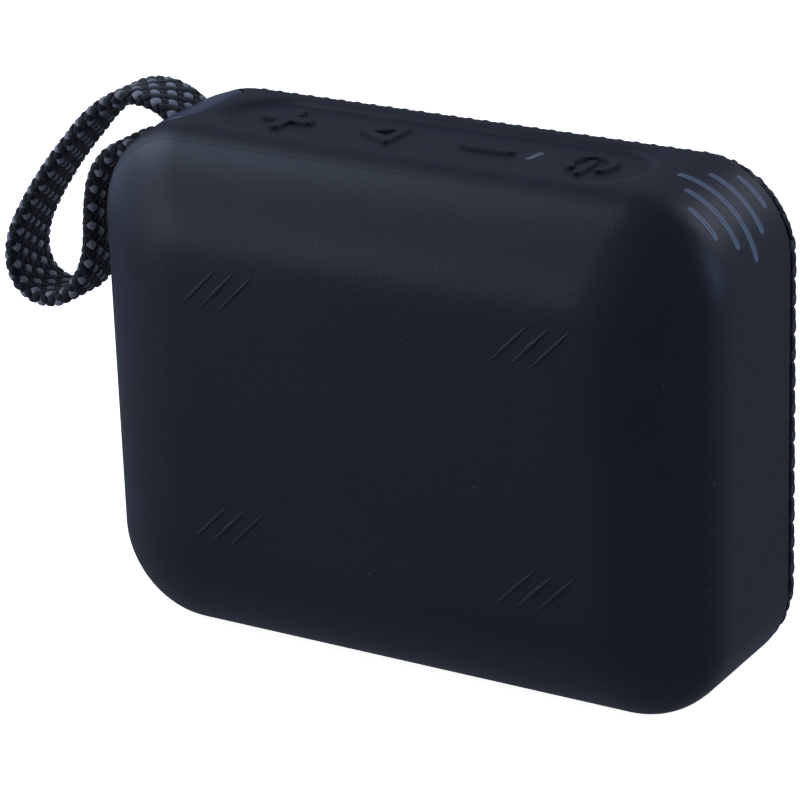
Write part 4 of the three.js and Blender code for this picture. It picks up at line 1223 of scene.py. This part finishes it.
def rib_group():
    """Sets a slim rounded rib on every point, turned in the plane of the back."""
    group, source, sink, identifiers = new_group("back_ribs", [
        ("Rib Length", "NodeSocketFloat"), ("Rib Width", "NodeSocketFloat"),
        ("Rib Height", "NodeSocketFloat"), ("Slant", "NodeSocketFloat"), ("Material", "NodeSocketMaterial"),
    ])
    ball = add_node(group, "GeometryNodeMeshUVSphere", Segments=16, Rings=10, Radius=0.5)
    size = add_node(
        group, "ShaderNodeCombineXYZ", X=source.outputs["Rib Length"], Z=source.outputs["Rib Width"],
        Y=source.outputs["Rib Height"],
    )
    slant = add_node(group, "ShaderNodeCombineXYZ", Y=source.outputs["Slant"])
    shaped = add_node(
        group, "GeometryNodeTransform",
        Geometry=ball.outputs[0], Scale=size.outputs[0], Rotation=slant.outputs[0],
    )
    ribs = add_node(
        group, "GeometryNodeInstanceOnPoints", Points=source.outputs["Geometry"], Instance=shaped.outputs[0],
    )
    close_group(group, source, sink, ribs.outputs[0])
    return group, identifiers


def make_ribs():
    """Four groups of three slanted anti-slip ribs, low and soft, the middle one fuller at its centre."""
    group, identifiers = rib_group()
    every, middle = [], []
    for side in (-1, 1):
        for level in (-1, 1):
            for place in (-1, 0, 1):
                x = side * RIB_GROUP_X + place * RIB_PITCH
                point = (x, BACK_Y - 0.02, HEIGHT / 2 + level * RIB_GROUP_Z)
                every.append(point)
                if place == 0:
                    middle.append(point)
    pieces = []
    for name, points, size in (("ribs", every, RIB_SIZE), ("rib_centres", middle, RIB_CENTRE_SIZE)):
        length, width, height = (value * MM for value in size)
        pieces.append(run_group(points_object(name, points), group, identifiers, {
            "Rib Length": length, "Rib Width": width, "Rib Height": height, "Slant": math.radians(45),
            "Material": MATERIALS["skin"],
        }))
    ribs = join("anti_slip_ribs", *pieces)
    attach(ribs, ROOT)


# ---------------------------------------------------------------- port flap

FLAP_LOW, FLAP_HIGH = node_box("port_flap")
FLAP_THICKNESS = 1.4
FLAP_CORNER = 0.7
POCKET_CORNER = 0.5
POCKET_GAP = 0.15
HINGE_ROOM = 0.45  # below the flap's foot, for its swing


def flap_ring(radius, grow=0.0, below=0.0):
    """The flap's outline about its middle, grown all round and let down further below."""
    half_y = (FLAP_HIGH[1] - FLAP_LOW[1]) / 2 + grow
    half_z = (FLAP_HIGH[2] - FLAP_LOW[2]) / 2 + grow + below / 2
    ring = rounded_rect(half_y, half_z, radius, 8)
    return ring - [0, below / 2]


def flap_cutter():
    """The pocket in the skin that the flap closes and swings in."""
    ring = flap_ring(POCKET_CORNER, POCKET_GAP, HINGE_ROOM)
    middle = (FLAP_LOW + FLAP_HIGH) / 2
    rows = [
        np.stack([np.full(len(ring), x), ring[:, 0] + middle[1], ring[:, 1] + middle[2]], axis=1)
        for x in (HALF_WIDTH - 3.0, HALF_WIDTH + 2.0)
    ]
    return skinned("flap_cutter", rows)


def make_flap():
    """The rubber flap over the charging port, with softened edges, a finger nib and its plug."""
    ring = flap_ring(FLAP_CORNER)
    middle = np.array([0.0, (FLAP_LOW[1] + FLAP_HIGH[1]) / 2, (FLAP_LOW[2] + FLAP_HIGH[2]) / 2])
    inner = HALF_WIDTH - FLAP_THICKNESS
    plug = rounded_rect(1.8, 4.7, 1.79, 8)
    profile = [
        (plug, 1.0, inner - 1.3), (plug, 1.0, inner), (ring, 0.97, inner), (ring, 1.0, inner + 0.15),
        (ring, 1.0, HALF_WIDTH - 0.35), (ring, 0.985, HALF_WIDTH - 0.1), (ring, 0.95, HALF_WIDTH),
        (ring, 0.5, HALF_WIDTH), (ring, 0.02, HALF_WIDTH),
    ]
    rows = [
        np.stack([np.full(len(outline), x), outline[:, 0] * share, outline[:, 1] * share], axis=1) + middle
        for outline, share, x in profile
    ]
    flap = skinned("port_cover_flap", rows)
    smooth_by_angle(flap, 40)
    finish_piece(flap, "flap", "silicone_skin", MATERIALS["skin"], "port_flap")
    nib_ring = rounded_rect(2.6, 0.45, 0.44, 6)
    nib_rows = []
    for share, lift in ((1.0, -0.3), (1.0, 0.15), (0.85, 0.32), (0.5, 0.38)):
        nib_rows.append(np.stack([
            np.full(len(nib_ring), HALF_WIDTH + lift), nib_ring[:, 0] * share + middle[1],
            nib_ring[:, 1] * share + FLAP_HIGH[2] - 1.7,
        ], axis=1))
    nib = skinned("port_flap_nib", nib_rows)
    finish_piece(nib, "flap", "silicone_skin", MATERIALS["skin"])


# ---------------------------------------------------------------- assembly

make_camera()
MATERIALS = outer_materials()
make_strap()
make_stage()
make_skin()
make_mould_line()
make_block()
make_grille()
make_symbols()
make_light()
make_stripes()
make_ribs()
make_flap()

SLOTS = {entry["node"]: entry["material_slot"] for entry in frame["record"]["subparts"]}
FINISHES = slot_materials()
for node_name, node_object in frame["nodes"].items():
    node_object.data.materials.clear()
    node_object.data.materials.append(FINISHES[SLOTS[node_name]])
